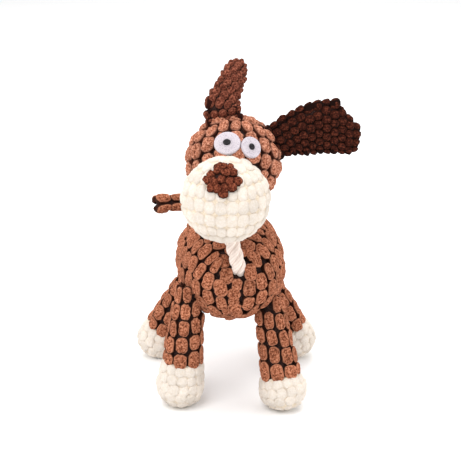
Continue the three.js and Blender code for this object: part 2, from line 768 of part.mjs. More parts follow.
// Ear: a padded leaf sewn on along its root, which is rolled round the hinge
function earSections(outline, length, inset) {
  return outline.map(({ at: along, wide, side, thick }) => ({
    at: along * (length - inset),
    wide: Math.max(wide - inset, seatGap),
    side,
    thick: Math.max(earThick / 2 * thick - inset, seatGap),
  }));
}

function ear({ name, shares, outline, length, rootWidth, curve, tilt, lean, flop }) {
  const place = onEgg(head, new THREE.Vector3(...shares));
  const normal = normalOn(head, place).setY(0).normalize();
  const pivot = place.clone().addScaledVector(normal, earRootRadius + seatGap - earSeatDepth);
  const group = groupAt(`ear_${name}`, headCentre.clone().add(pivot));
  const upright = new THREE.Vector3(Math.sin(radians(tilt)), 0, Math.cos(radians(tilt)));
  const tip = upright.multiplyScalar(Math.cos(radians(lean))).setY(Math.sin(radians(lean))).multiplyScalar(length);
  const elbow = normal.clone().multiplyScalar(length * curve);
  const path = new THREE.QuadraticBezierCurve3(origin, elbow, tip);
  const hinge = new THREE.Vector3().crossVectors(yAxis, normal);
  const reach = path.getLength();

  const leaf = cut(
    alongPath(path, yAxis, earSections(outline, reach, 0)),
    ...sweptEgg(head, pivot.clone().negate(), hinge, ...flop, swingGap),
  );
  const rolled = join(leaf, rod(earRootRadius, rootWidth * earRootRollShare, hinge));
  const hollow = earSections(outline, reach, earCoverThick);
  hollow.unshift({ at: -overrun, wide: hollow[0].wide, thick: hollow[0].thick });
  const filling = earSections(outline, reach, earCoverThick + seatGap).slice(1);

  group.userData.hinge = hinge;
  group.add(named(`ear_cover_${name}`, cut(rolled, alongPath(path, yAxis, hollow, smallSides)), colours.darkBrown));
  group.add(named(`ear_wadding_${name}`, alongPath(path, yAxis, filling, smallSides), colours.wadding));
  return group;
}

// Tail: a stuffed tube that curves from the rump to the dog's right
function tail() {
  const group = groupAt('tail', tailPivot);
  const path = new THREE.CatmullRomCurve3(tailPathShares.map((share) => (
    new THREE.Vector3(...share).multiplyScalar(tailLength)
  )));
  const reach = path.getLength();
  const sections = (inset) => tailOutlineShares.map(([along, wide]) => (
    { at: along * (reach - inset), wide: Math.max(tailRadius * wide - inset, seatGap) }
  ));
  const bodyCuts = (inset) => (
    sweptEgg(body, tailOnBody.clone().negate(), zAxis, -tailWag, tailWag, swingGap + inset)
  );
  const hollow = sections(coverThick);
  hollow.unshift({ at: -tailRadius - overrun, wide: hollow[0].wide });
  const tube = join(cut(alongPath(path, zAxis, sections(0)), ...bodyCuts(0)), ball(tailRadius, zAxis));
  const filling = alongPath(path, zAxis, sections(coverThick + seatGap), smallSides);
  group.add(named('tail_cover', cut(tube, alongPath(path, zAxis, hollow, smallSides)), colours.brown));
  group.add(named('tail_stuffing', filling, colours.wadding));
  return group;
}

const dog = new THREE.Group();
dog.add(torso(), squeaker(), neckLower(), neckUpper(), headPieces(), tail(), ...legs.map(leg));
dog.add(ear({
  name: 'right',
  shares: rightEarShares,
  outline: rightEarOutline,
  length: rightEarLength,
  rootWidth: rightEarRootWidth,
  curve: rightEarCurveShare,
  tilt: rightEarTilt,
  lean: rightEarLean,
  flop: rightEarFlop,
}));
dog.add(ear({
  name: 'left',
  shares: leftEarShares,
  outline: leftEarOutline,
  length: leftEarLength,
  rootWidth: leftEarRootWidth,
  curve: leftEarCurveShare,
  tilt: leftEarTilt,
  lean: leftEarLean,
  flop: leftEarFlop,
}));

// The origin is the middle of the ground that the whole dog covers
const ground = new THREE.Box3().setFromObject(dog).getCenter(new THREE.Vector3());
dog.position.set(-ground.x, -ground.y, 0);

const part = new THREE.Group();
part.add(dog);
export default part;
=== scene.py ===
# A standing plush dog, dressed over its CAD frame: tufted brown and cream plush, a twisted cotton rope,
# embroidered eyes and a popcorn nose. Metres; +Z is up, the dog looks along -Y, and +X is its own left.

import json
import math

import bpy
import numpy as np
from mathutils import Matrix, Vector


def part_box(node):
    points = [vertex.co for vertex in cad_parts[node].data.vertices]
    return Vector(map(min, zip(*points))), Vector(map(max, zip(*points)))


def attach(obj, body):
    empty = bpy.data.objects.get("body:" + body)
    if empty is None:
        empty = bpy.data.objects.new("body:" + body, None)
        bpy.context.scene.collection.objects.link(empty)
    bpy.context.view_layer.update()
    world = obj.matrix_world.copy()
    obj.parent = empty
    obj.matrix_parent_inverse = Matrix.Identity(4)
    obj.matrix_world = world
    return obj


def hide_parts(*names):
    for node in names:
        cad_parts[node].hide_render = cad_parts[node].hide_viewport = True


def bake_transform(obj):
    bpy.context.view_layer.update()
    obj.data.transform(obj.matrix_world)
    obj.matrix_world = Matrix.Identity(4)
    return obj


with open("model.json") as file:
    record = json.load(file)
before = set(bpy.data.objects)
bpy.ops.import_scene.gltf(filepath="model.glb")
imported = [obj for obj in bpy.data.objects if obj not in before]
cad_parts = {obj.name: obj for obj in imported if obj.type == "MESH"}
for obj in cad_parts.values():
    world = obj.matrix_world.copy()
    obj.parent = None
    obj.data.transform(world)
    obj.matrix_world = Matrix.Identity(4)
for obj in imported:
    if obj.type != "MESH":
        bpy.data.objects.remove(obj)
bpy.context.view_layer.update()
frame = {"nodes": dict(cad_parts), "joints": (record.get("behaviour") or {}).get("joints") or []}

MM = 0.001
FULL_TURN = 2 * math.pi
TINY = 1e-9
BACKWARD = np.array([0, 1.0, 0])
UPWARD = np.array([0, 0, 1.0])

# Camera, as the photograph was taken: distance, height above the level, turn and lens
CAMERA_DISTANCE = 1.0
CAMERA_ELEVATION = 20
CAMERA_AZIMUTH = -4
CAMERA_TARGET_HEIGHT = 130 * MM
CAMERA_LENS = 100.1
SENSOR_WIDTH = 36

# Plush: pitch of the tufts across and along a column, how far they stand on the net, and the net's depth
COARSE_WIDE = 10.5 * MM
COARSE_LONG = 13.4 * MM
COARSE_HIGH = 5 * MM
NET_DEPTH = 4.6 * MM
POPCORN_PITCH = 6.8 * MM
POPCORN_HIGH = 3.8 * MM
CREAM_HIGH = 3.2 * MM
PAW_PITCH = 8.6 * MM
FURROW = 1.5 * MM
LEG_FURROW = 2 * MM

# Forms that the plush lies on, as the CAD has them. Tilts are in degrees
BODY_HALF = np.array([42.5, 62, 39.5]) * MM
BODY_POWER = 2.4
BODY_SPINE = 46 * MM
BODY_TILT = 5
HEAD_HALF = np.array([35, 34.5, 34]) * MM
HEAD_TILT = -28
MUZZLE_HALF = np.array([32, 27, 31.5]) * MM
HIP_RADIUS = 11.5 * MM
ANKLE_RADIUS = 16.3 * MM
FRONT_PAW_RADIUS = 18.8 * MM
REAR_PAW_RADIUS = 18 * MM
ROPE_RADIUS = 5.75 * MM
TAIL_RADIUS = 8.2 * MM
TAIL_LENGTH = 69 * MM

# Tufts on them, in millimetres: how many columns, a row's length, the columns' shift round the equator, the
# middle row's height at the front and the back, its climb to the flank, and the length it climbs over
BODY_TUFTS = dict(columns=30, row=14.5, offset=-0.8, height=0.9, climb=13, over=50)
HEAD_TUFTS = dict(columns=18, row=13, offset=1, height=-1.1, climb=-7, over=44)
MUZZLE_TUFTS = dict(columns=22, row=10.2, offset=3, height=2, climb=0, over=44)


def unit(vectors):
    return vectors / np.linalg.norm(vectors, axis=-1, keepdims=True)


def point(values):
    return np.array(values, float)


def joint_place(name):
    return next(point(joint["pos_m"]) for joint in frame["joints"] if joint["name"] == name)


def joint_axis(name):
    return next(unit(point(joint["axis"])) for joint in frame["joints"] if joint["name"] == name)


def swung(places, joint, degrees):
    """Places turned about a joint."""
    turn = np.array(Matrix.Rotation(math.radians(degrees), 3, Vector(joint_axis(joint))))
    pivot = joint_place(joint)
    return pivot + (places - pivot) @ turn.T


def box_centre(node):
    low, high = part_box(node)
    return (point(low) + point(high)) / 2


def make_camera():
    azimuth, elevation = math.radians(CAMERA_AZIMUTH), math.radians(CAMERA_ELEVATION)
    level = math.cos(elevation)
    back = Vector((math.sin(azimuth) * level, -math.cos(azimuth) * level, math.sin(elevation)))
    middle = box_centre("body_cover")
    target = Vector((middle[0], middle[1], CAMERA_TARGET_HEIGHT))
    data = bpy.data.cameras.new("camera")
    data.lens = CAMERA_LENS
    data.sensor_width = SENSOR_WIDTH
    camera = bpy.data.objects.new("camera", data)
    bpy.context.collection.objects.link(camera)
    camera.location = target + back * CAMERA_DISTANCE
    camera.rotation_mode = "QUATERNION"
    camera.rotation_quaternion = (-back).to_track_quat("-Z", "Y")
    bpy.context.scene.camera = camera


make_camera()

# Noise that is the same in every run
HASH_STEPS = np.array([12.9898, 78.233, 37.719])
HASH_SCALE = 43758.5453


def noise(points, size, seed=0.0):
    """Smooth noise from -1 to 1 with lumps of one size."""
    cells = points / size
    low = np.floor(cells)
    part = cells - low
    part = part * part * (3 - 2 * part)
    total = np.zeros(points.shape[:-1])
    for corner in np.ndindex(2, 2, 2):
        hashed = np.sin((low + corner) @ HASH_STEPS + seed) * HASH_SCALE
        weight = np.prod(np.where(corner, part, 1 - part), axis=-1)
        total += weight * (2 * (hashed - np.floor(hashed)) - 1)
    return total


# Meshes

class Sewing:
    """Points, faces, slots and per-point values that become one mesh."""

    def __init__(self):
        self.points = []
        self.faces = []
        self.slots = []
        self.values = []
        self.count = 0

    def add(self, points, face_sets, slot=0, pile=0.0, rim=0.0, shade=0.0):
        for faces in face_sets:
            self.faces.extend((faces + self.count).tolist())
            self.slots.append(np.full(len(faces), slot))
        values = [np.broadcast_to(value, points.shape[:-1]).reshape(-1) for value in (pile, rim, shade)]
        self.values.append(np.stack(values, axis=1))
        self.points.append(points.reshape(-1, 3))
        self.count += len(self.points[-1])

    def add_skin(self, rings, slot=0, **values):
        """A closed skin over rings of points, shape (rows, columns, 3), with a point at each end."""
        rows, columns = rings.shape[:2]
        first = self.count
        self.add(rings, [grid_faces(rows, columns)], slot, **values)
        ends = {name: np.ravel(value)[-1] for name, value in values.items()}
        for ring, outward in ((0, False), (rows - 1, True)):
            tip = rings[ring].mean(axis=0)[None]
            start = first + ring * columns - self.count
            self.add(tip, [fan_faces(start, columns, 0, outward)], slot, **ends)

    def mesh(self, name, materials):
        data = bpy.data.meshes.new(name)
        data.from_pydata(np.concatenate(self.points).tolist(), [], self.faces)
        for material in materials:
            data.materials.append(material)
        data.polygons.foreach_set("material_index", np.concatenate(self.slots).astype(np.int32))
        data.polygons.foreach_set("use_smooth", np.ones(len(self.faces), bool))
        table = np.concatenate(self.values).astype(np.float32)
        for column, value in enumerate(("pile", "rim", "shade")):
            attribute = data.attributes.new(value, "FLOAT", "POINT")
            attribute.data.foreach_set("value", np.ascontiguousarray(table[:, column]))
        data.validate()
        data.update()
        piece = bpy.data.objects.new(name, data)
        bpy.context.collection.objects.link(piece)
        return piece


def around(columns):
    """The turns of a ring's points."""
    return np.linspace(0, FULL_TURN, columns, endpoint=False)


def grid_faces(rows, columns):
    """Quads between rows of points, each row closed on itself."""
    start = np.arange(rows - 1)[:, None] * columns
    here = start + np.arange(columns)
    beside = start + (np.arange(columns) + 1) % columns
    return np.stack([here, beside, beside + columns, here + columns], axis=-1).reshape(-1, 4)


def fan_faces(start, columns, tip, outward=True):
    here = start + np.arange(columns)
    beside = start + (np.arange(columns) + 1) % columns
    edge = [here, beside] if outward else [beside, here]
    return np.stack([*edge, np.full(columns, tip)], axis=-1)


# Kinds of tuft. A profile is rows of a share of the outline and of the height, from the root to the middle
# of the top. Corner is where a square's corners are cut off, and crown is how far the edges fall
TUFT_SIDES = 36
BLOCK = dict(
    profile=[(0.9, -0.12), (0.95, 0.16), (0.985, 0.42), (1.0, 0.64), (1.0, 0.8), (0.97, 0.91), (0.9, 0.98),
             (0.78, 1.01), (0.6, 1.02), (0.38, 1.02), (0.16, 1.02)],
    corner=(0.54, 0.62), power=20, crown=0.2,
)
FLUFF = dict(
    profile=[(0.9, -0.12), (0.98, 0.2), (1.02, 0.44), (1.01, 0.64), (0.96, 0.8), (0.87, 0.92), (0.73, 1.0),
             (0.55, 1.05), (0.34, 1.08), (0.15, 1.09)],
    corner=(0.52, 0.56), power=10, crown=0.3,
)
CUSHION = dict(
    profile=[(1.08, -0.3), (1.12, 0.05), (1.1, 0.36), (1.02, 0.62), (0.89, 0.81), (0.72, 0.92), (0.52, 0.98),
             (0.28, 1.0)],
    corner=(0.5, 0.5), power=6, crown=0,
)
BALL = dict(
    profile=[(0.98, -0.4), (1.05, -0.1), (1.06, 0.16), (1.0, 0.42), (0.88, 0.64), (0.71, 0.81), (0.51, 0.92),
             (0.26, 0.99)],
    corner=(0.45, 0.45), power=4, crown=0,
)

# How uneven the tufts of a kind are
WIDTHS = (0.94, 1.04)
LENGTHS = (0.95, 1.03)
HEIGHTS = (0.88, 1.12)
SKEW = 0.08
LEAN = 0.08
RAGGED = 0.018
RAGGED_WAVES = (2, 3, 5, 7, 9)

# Lumps of fibre: size, where in the noise, and height; and how much they push up rather than sideways
LUMPS = ((3.1 * MM, 1.0, 0.2 * MM), (1.5 * MM, 2.0, 0.34 * MM))
LUMP_LIFT = point(0.8)

# Shares: of a furrow, between the tufts of a column; of the bend, by which the roots crowd together
ROW_GAP = 0.3
ROOT_NARROWING = 0.8
SMOOTH = dict(kind=CUSHION, rough=0.8, tone=(0.5, 1))


def corner_slope(kind):
    far_across, far_along = kind["corner"]
    return point([1 - far_along, 1 - far_across]) / (1 - far_across * far_along)


def tuft_shape(kind):
    """A tuft's points across, along and up, and how near each is to the outline."""
    turn = around(TUFT_SIDES)
    slope = corner_slope(kind)
    across, along = np.abs(np.cos(turn)), np.abs(np.sin(turn))
    sides = np.stack([across, along, across * slope[0] + along * slope[1]])
    reach = (sides ** kind["power"]).sum(axis=0) ** (-1 / kind["power"])
    shares = np.array(kind["profile"])
    out = shares[:, :1, None] * (np.stack([np.cos(turn), np.sin(turn)], axis=-1) * reach[:, None])
    up = np.broadcast_to(shares[:, 1:], out.shape[:2])
    flat = np.concatenate([out, up[..., None]], axis=-1).reshape(-1, 3)
    rim = np.append(np.repeat(shares[:, 0], TUFT_SIDES), 0)
    return np.vstack([flat, [0, 0, shares[-1, 1]]]), rim


def tuft_faces(kind):
    rows = len(kind["profile"])
    tip = rows * TUFT_SIDES
    return grid_faces(rows, TUFT_SIDES), fan_faces(tip - TUFT_SIDES, TUFT_SIDES, tip)


def pairs(first, second):
    return np.stack(np.broadcast_arrays(first, second), axis=1)


def crossed(first, second):
    """Every value of one row with every value of another."""
    return (part.ravel() for part in np.meshgrid(first, second, indexing="ij"))


class Spots:
    """Places of tufts, with outward normals, ways along the column, and sizes and bends across and along."""

    def __init__(self, places, normals, alongs, sizes, bends):
        self.places = places
        self.normals = unit(normals)
        straight = alongs - (alongs * self.normals).sum(axis=1, keepdims=True) * self.normals
        self.alongs = unit(straight)
        self.sizes = sizes
        self.bends = bends

    def parts(self):
        return self.places, self.normals, self.alongs, self.sizes, self.bends

    def kept(self, mask):
        return Spots(*(part[mask] for part in self.parts()))

    def spread(self, across, along, out, start=0.0):
        """Lengths across, along and out of each spot as places, from a start."""
        sideways = np.cross(self.alongs, self.normals)
        for axis, part in ((sideways, across), (self.alongs, along), (self.normals, out)):
            start = start + axis[:, None, :] * part[..., None]
        return start


def joined(*several):
    return Spots(*(np.concatenate(parts) for parts in zip(*(spots.parts() for spots in several))))


def ragged_outlines(random, total, template):
    """How far each point of each tuft is from its even outline, as a factor near 1."""
    angle = np.arctan2(template[:, 1], template[:, 0])
    ragged = np.ones((total, len(template)))
    for wave in RAGGED_WAVES:
        depth = random.normal(0, RAGGED, (total, 1))
        ragged += depth * np.cos(wave * angle + random.uniform(0, 6, (total, 1)))
    return ragged


def tuft_points(random, spots, kind, high, gap, tilt):
    """Points of flat-lying tufts across, along and up, sized, turned and tipped a little unevenly."""
    template, _ = tuft_shape(kind)
    total = len(spots.places)
    wide = (spots.sizes[:, 0] - gap) / 2 * random.uniform(*WIDTHS, total)
    long = (spots.sizes[:, 1] - gap * ROW_GAP) / 2 * random.uniform(*LENGTHS, total)
    tall = high * random.uniform(*HEIGHTS, total)
    skew = random.normal(0, SKEW, total)[:, None]
    lean = random.normal(0, LEAN, (total, 2)) + [0, tilt]
    ragged = ragged_outlines(random, total, template)
    across, along, up = template.T[:, None]
    x = across * wide[:, None] * ragged
    y = along * long[:, None] * ragged
    z = up * tall[:, None] * (1 + lean[:, :1] * across + lean[:, 1:] * along)
    z = z * (1 - kind["crown"] * (across ** 4 + along ** 4))
    return x * np.cos(skew) - y * np.sin(skew), x * np.sin(skew) + y * np.cos(skew), z


def bent(spots, x, y, z, high):
    """Tufts bent over the form that they stand on, with roots that crowd together under their tops."""
    across, along = spots.bends[:, :1], spots.bends[:, 1:]
    drop = (across * x ** 2 + along * y ** 2) / 2
    x = x * (1 + (z - high) * across * ROOT_NARROWING)
    y = y * (1 + (z - high) * along * ROOT_NARROWING)
    return x, y, z - drop


def add_tufts(sewing, spots, high, seed, kind=BLOCK, gap=FURROW, rough=1.0, tone=(0, 1), tilt=0):
    """Pile tufts on the spots, each one a little different and lumpy with fibre."""
    random = np.random.default_rng(seed)
    total = len(spots.places)
    template, rim = tuft_shape(kind)
    points = tuft_points(random, spots, kind, high, gap, tilt)
    roots = spots.places - spots.normals * high
    shaped = spots.spread(*bent(spots, *points, high), roots[:, None, :])
    outward = unit(spots.spread(template[None, :, 0], template[None, :, 1], LUMP_LIFT))
    places = shaped + random.uniform(0, 1, (total, 1, 3))
    lumps = sum(noise(places, size, phase) * height for size, phase, height in LUMPS)
    pile = np.clip(template[:, 2], 0, 1)
    standing = np.clip(template[:, 2] * 2, 0, 1)
    shaped = shaped + outward * (lumps * standing * rough)[..., None]
    shaped[..., 2] = np.maximum(shaped[..., 2], 0)
    offsets = (np.arange(total) * len(template))[:, None, None]
    face_sets = [(faces + offsets).reshape(-1, faces.shape[1]) for faces in tuft_faces(kind)]
    sewing.add(shaped, face_sets, pile=pile, rim=rim, shade=random.uniform(*tone, (total, 1)))


# Bare patches: free reach that is filled, the greatest one used, and the size of the tuft per reach
LEAST_PATCH = 2.7 * MM
MOST_PATCH = 4.4 * MM
PATCH_SHARES = np.array([2.3, 2.8])
FAR_SIDE = 15 * MM


def free_reach(places, spots):
    """How far each place lies from the nearest tuft's edge, which has its corners cut off."""
    offsets = places[:, None] - spots.places[None]
    across = np.cross(spots.alongs, spots.normals)
    beside = np.abs((offsets * across).sum(axis=-1))
    above = np.abs((offsets * spots.alongs).sum(axis=-1))
    half_wide, half_long = (spots.sizes.T - FURROW) / 2
    slope = corner_slope(BLOCK) / np.stack([half_wide, half_long], axis=1)
    corner = (beside * slope[:, 0] + above * slope[:, 1] - 1) / np.hypot(*slope.T)
    free = np.maximum(np.maximum(beside - half_wide, above - half_long), corner)
    behind = np.abs((offsets * spots.normals).sum(axis=-1)) > FAR_SIDE
    return np.where(behind, FAR_SIDE, free).min(axis=1)


def filled(spots, bare):
    """More tufts in the bare patches, the widest first, until none is wider than a junction of furrows."""
    free = free_reach(bare.places, spots)
    while free.max() > LEAST_PATCH:
        patch = bare.kept(np.array([free.argmax()]))
        patch.sizes[:] = min(free.max(), MOST_PATCH) * PATCH_SHARES
        spots = joined(spots, patch)
        free = np.minimum(free, free_reach(bare.places, patch))
    return spots


# Eggs: bodies whose columns of tufts run up from an equator to a pole or a spine
COLUMN_STEPS = 16
EQUATOR_POINTS = 400
HALVINGS = 34
ROWS = np.arange(-6, 7)
ROW_SCATTER = 0.8 * MM
PROBE = 0.5 * MM
BARE_STEP = 2.4 * MM
BARE_HEIGHTS = np.arange(-70, 70, 2.4) * MM

# Shares of a column's full width: the least that goes on, under which every fourth or second one does, and
# the widest tuft; and the share of a row that a tuft's middle keeps from its column's ends
LEAST_COLUMN = 0.1
FOURTH_COLUMN = 0.34
SECOND_COLUMN = 0.64
WIDEST_TUFT = 1.16
ROW_END = 0.3


def thinned(spots, column, pitch):
    """Where columns run together, every second or fourth one goes on, so that tufts keep their width."""
    share = spots.sizes[:, 0] / pitch
    step = np.where(share < FOURTH_COLUMN, 4, np.where(share < SECOND_COLUMN, 2, 1))
    spots.sizes[:, 0] = np.minimum(spots.sizes[:, 0] * step, pitch * WIDEST_TUFT)
    return (column % step == 0) & (share > LEAST_COLUMN)


class Egg:
    """An egg with its length along Y. Columns stand in planes that fan out round each end's axis."""

    def __init__(self, centre, half, power=2.0, spine=0.0, tilt=0.0):
        self.centre = centre
        self.half = half
        self.power = power
        self.spine = spine
        self.turn = np.array(Matrix.Rotation(math.radians(tilt), 3, "X"))
        y = -half[1] * np.cos(np.linspace(0, math.pi, EQUATOR_POINTS))
        x = half[0] * np.clip(1 - np.abs(y / half[1]) ** power, 0, 1) ** (1 / power)
        steps = np.hypot(np.diff(x), np.diff(y))
        self.equator = np.concatenate([[0], np.cumsum(steps)]), x, y
        self.reach = self.equator[0][-1]

    def level(self, places):
        """Below 1 inside the egg, and above 1 outside it."""
        scaled = np.abs(places - self.centre) / self.half
        return np.hypot(scaled[..., 0], scaled[..., 2]) ** self.power + scaled[..., 1] ** self.power

    def normal(self, places):
        scaled = (places - self.centre) / self.half
        ring = np.maximum(np.hypot(scaled[..., 0], scaled[..., 2]), TINY) ** (self.power - 2)
        along = np.maximum(np.abs(scaled[..., 1]), TINY) ** (self.power - 2)
        parts = [ring * scaled[..., 0], along * scaled[..., 1], ring * scaled[..., 2]]
        return unit(np.stack(parts, axis=-1) / self.half)

    def hit(self, starts, ways):
        """Where straight ways from points inside the egg leave it."""
        low = np.zeros(ways.shape[:-1])
        high = np.full(ways.shape[:-1], 2 * self.half.max())
        for _ in range(HALVINGS):
            middle = (low + high) / 2
            inside = self.level(starts + ways * middle[..., None]) < 1
            low = np.where(inside, middle, low)
            high = np.where(inside, high, middle)
        return starts + ways * low[..., None]

    def columns(self, across):
        """Points up the columns at lengths round the equator, and each one's height in its column."""
        lengths, xs, ys = self.equator
        x = np.sign(across) * np.interp(np.abs(across), lengths, xs)
        y = np.interp(np.abs(across), lengths, ys)
        core = np.clip(y, -self.spine, self.spine)
        flat = unit(np.stack([x, y - core, np.zeros_like(x)], axis=-1) + TINY)[:, None]
        climb = np.linspace(-math.pi / 2, math.pi / 2, 2 * COLUMN_STEPS + 1)[None, :, None]
        ways = (flat * np.cos(climb) + UPWARD * np.sin(climb)) @ self.turn.T
        starts = np.stack([np.zeros_like(core), core, np.zeros_like(core)], axis=-1) + self.centre
        places = self.hit(starts[:, None], ways)
        steps = np.linalg.norm(np.diff(places, axis=1), axis=-1)
        heights = np.cumsum(np.pad(steps, ((0, 0), (1, 0))), axis=1)
        return places, heights - heights[:, COLUMN_STEPS:COLUMN_STEPS + 1]

    def place(self, across, up):
        places, heights = self.columns(across)
        above = np.clip((heights < up[:, None]).sum(axis=1), 1, heights.shape[1] - 1)
        row = np.arange(len(across))
        low, high = heights[row, above - 1], heights[row, above]
        share = np.clip((up - low) / (high - low), 0, 1)[:, None]
        return places[row, above - 1] * (1 - share) + places[row, above] * share

    def lattice(self, tufts):
        """Spots of tufts in columns, with rows that climb away from the middle of the front and the back."""
        count, row_long = tufts["columns"], tufts["row"] * MM
        pitch = 2 * self.reach / count
        column, row = crossed(np.arange(count), ROWS)
        length = pitch * column + tufts["offset"] * MM
        across = np.where(length > self.reach, length - 2 * self.reach, length)
        from_end = np.minimum(np.abs(across), self.reach - np.abs(across))
        rise = np.sin(math.pi / 2 * np.minimum(1, from_end / (tufts["over"] * MM))) ** 2
        up = (tufts["height"] + tufts["climb"] * rise) * MM + row * row_long
        up = up + np.random.default_rng(count).uniform(-ROW_SCATTER, ROW_SCATTER, count)[column]
        spots = self.spots(across, up, pitch, row_long)
        keep = self.between_ends(across, up, row_long * ROW_END) & thinned(spots, column, pitch)
        return spots, keep, across, up

    def between_ends(self, across, up, margin):
        _, heights = self.columns(across)
        return (up < heights[:, -1] - margin) & (up > heights[:, 0] + margin)

    def spots(self, across, up, wide, long):
        """Tuft spots at the given places, as wide as the columns are there."""
        here = self.place(across, up)
        above = self.place(across, up + PROBE)
        beside = self.place(across + PROBE, up)
        narrow = np.linalg.norm(beside - here, axis=-1) / PROBE
        normals = self.normal(here)
        bends = []
        for neighbour in (beside, above):
            step = np.linalg.norm(neighbour - here, axis=-1) + TINY
            bends.append(np.linalg.norm(self.normal(neighbour) - normals, axis=-1) / step)
        return Spots(here, normals, above - here, pairs(wide * narrow, long), pairs(*bends))

    def bare(self):
        """Places all over the egg, where tufts may be added."""
        up, across = crossed(BARE_HEIGHTS, np.arange(-self.reach, self.reach, BARE_STEP))
        keep = self.between_ends(across, up, BARE_STEP)
        return self.spots(across[keep], up[keep], BARE_STEP, BARE_STEP)

    def skin(self, depth, rows, columns):
        """Rings of points a given depth under the surface."""
        along = -np.cos(math.pi * (np.arange(rows)[:, None] + 0.5) / rows)
        turn = around(columns)
        ring = (1 - np.abs(along) ** self.power) ** (1 / self.power)
        half = self.half - depth
        y = np.broadcast_to(half[1] * along, (rows, columns))
        rings = np.stack([half[0] * ring * np.cos(turn), y, -half[2] * ring * np.sin(turn)], axis=-1)
        return rings + self.centre


# Tubes: limbs, ears and tail, with rings of a half width and a half thickness along a path
PATH_POINTS = 200
RING_STEPS = 240
TANGENT_STEP = 0.2 * MM
TUBE_PROBE = 0.3 * MM
LEAST_HALF = 0.2 * MM
SHARPEST_BEND = 1 / (5 * MM)

# Popcorn: rows apart as a share of the pitch, and the first tuft's place in a row, in tufts
POPCORN_ROW = 0.84
FIRST_TUFT = 0.25


def measured(path):
    """Lengths along a path, which is a function of a share, and its points there."""
    centres = path(np.linspace(0, 1, PATH_POINTS))
    steps = np.linalg.norm(np.diff(centres, axis=0), axis=1)
    return np.concatenate([[0], np.cumsum(steps)]), centres


class Tube:
    """A limb along a path. Its sections are rows of length, half width, half thickness and shift aside."""

    def __init__(self, path, face, sections):
        self.lengths, self.centres = measured(path)
        self.length = self.lengths[-1]
        self.face = face
        self.sections = point(sections)

    def centre_at(self, along):
        return np.stack([np.interp(along, self.lengths, column) for column in self.centres.T], axis=-1)

    def line(self, along):
        inside = np.clip(along, TANGENT_STEP, self.length - TANGENT_STEP)
        tangents = unit(self.centre_at(inside + TANGENT_STEP) - self.centre_at(inside - TANGENT_STEP))
        held = np.clip(along, 0, self.length)
        return self.centre_at(held) + tangents * (along - held)[..., None], tangents

    def half(self, along):
        at, wide, thick, _ = self.sections.T
        return np.interp(along, at, wide), np.interp(along, at, thick)

    def turn_at(self, share, along):
        """The angle at a share of the ring's own length."""
        wide, thick = self.half(along)
        angles = np.linspace(0, FULL_TURN, RING_STEPS + 1)
        steps = np.hypot(np.sin(angles) * wide[..., None], np.cos(angles) * thick[..., None])
        lengths = np.cumsum(steps, axis=-1) - steps / 2
        wanted = (share % 1)[..., None] * lengths[..., -1:]
        return angles[np.clip((lengths < wanted).sum(axis=-1), 0, RING_STEPS)]

    def rim(self, along):
        wide, thick = self.half(along)
        return math.pi * (3 * (wide + thick) - np.sqrt((3 * wide + thick) * (wide + 3 * thick)))

    def place(self, turn, along, depth=0.0):
        centre, tangent = self.line(along)
        wide, thick = (np.maximum(half - depth, LEAST_HALF) for half in self.half(along))
        across = unit(np.cross(np.broadcast_to(self.face, tangent.shape), tangent))
        facing = np.cross(tangent, across)
        centre = centre + across * np.interp(along, self.sections[:, 0], self.sections[:, 3])[..., None]
        centre = centre + across * (wide * np.cos(turn))[..., None]
        return centre + facing * (thick * np.sin(turn))[..., None]

    def spots(self, share, along, wide, long):
        turn = self.turn_at(share, along)
        here = self.place(turn, along)
        above = self.place(turn, along + TUBE_PROBE)
        half_wide, half_thick = self.half(along)
        arc = np.hypot(np.sin(turn) * half_wide, np.cos(turn) * half_thick) + TUBE_PROBE
        beside = self.place(turn + TUBE_PROBE / arc, along)
        normals = np.cross(beside - here, above - here)
        bend = np.minimum(half_wide * half_thick / arc ** 3, SHARPEST_BEND)
        _, tangents = self.line(along)
        longs = long * ((above - here) * tangents).sum(axis=-1) / TUBE_PROBE
        return Spots(here, normals, above - here, pairs(wide, longs), pairs(bend, 0))

    def skin(self, depth, start, end, rows, columns):
        along, turn = np.meshgrid(np.linspace(start, end, rows), around(columns), indexing="ij")
        return self.place(turn, along, depth)


def popcorn_spots(tube, start, end, pitch):
    """Rows round a tube, each with as many tufts as fit, every second row set half a tuft on."""
    found = []
    for index, along in enumerate(np.arange(start, end, pitch * POPCORN_ROW)):
        rim = float(tube.rim(np.array([along]))[0])
        total = max(3, round(rim / pitch))
        share = (np.arange(total) + (index % 2) / 2 + FIRST_TUFT) / total
        found.append(tube.spots(share, np.full(total, along), np.full(total, rim / total), pitch))
    return joined(*found)


# Materials: plush, net, rope, thread, filling and plastic, all from nodes

def linear(red, green, blue):
    """An sRGB colour of 0 to 255 as the linear colour that a shader takes."""
    shares = point([red, green, blue]) / 255
    return [*np.where(shares <= 0.04045, shares / 12.92, ((shares + 0.055) / 1.055) ** 2.4), 1]


def dimmed(colour, share):
    return [part * share for part in colour[:3]] + [1]


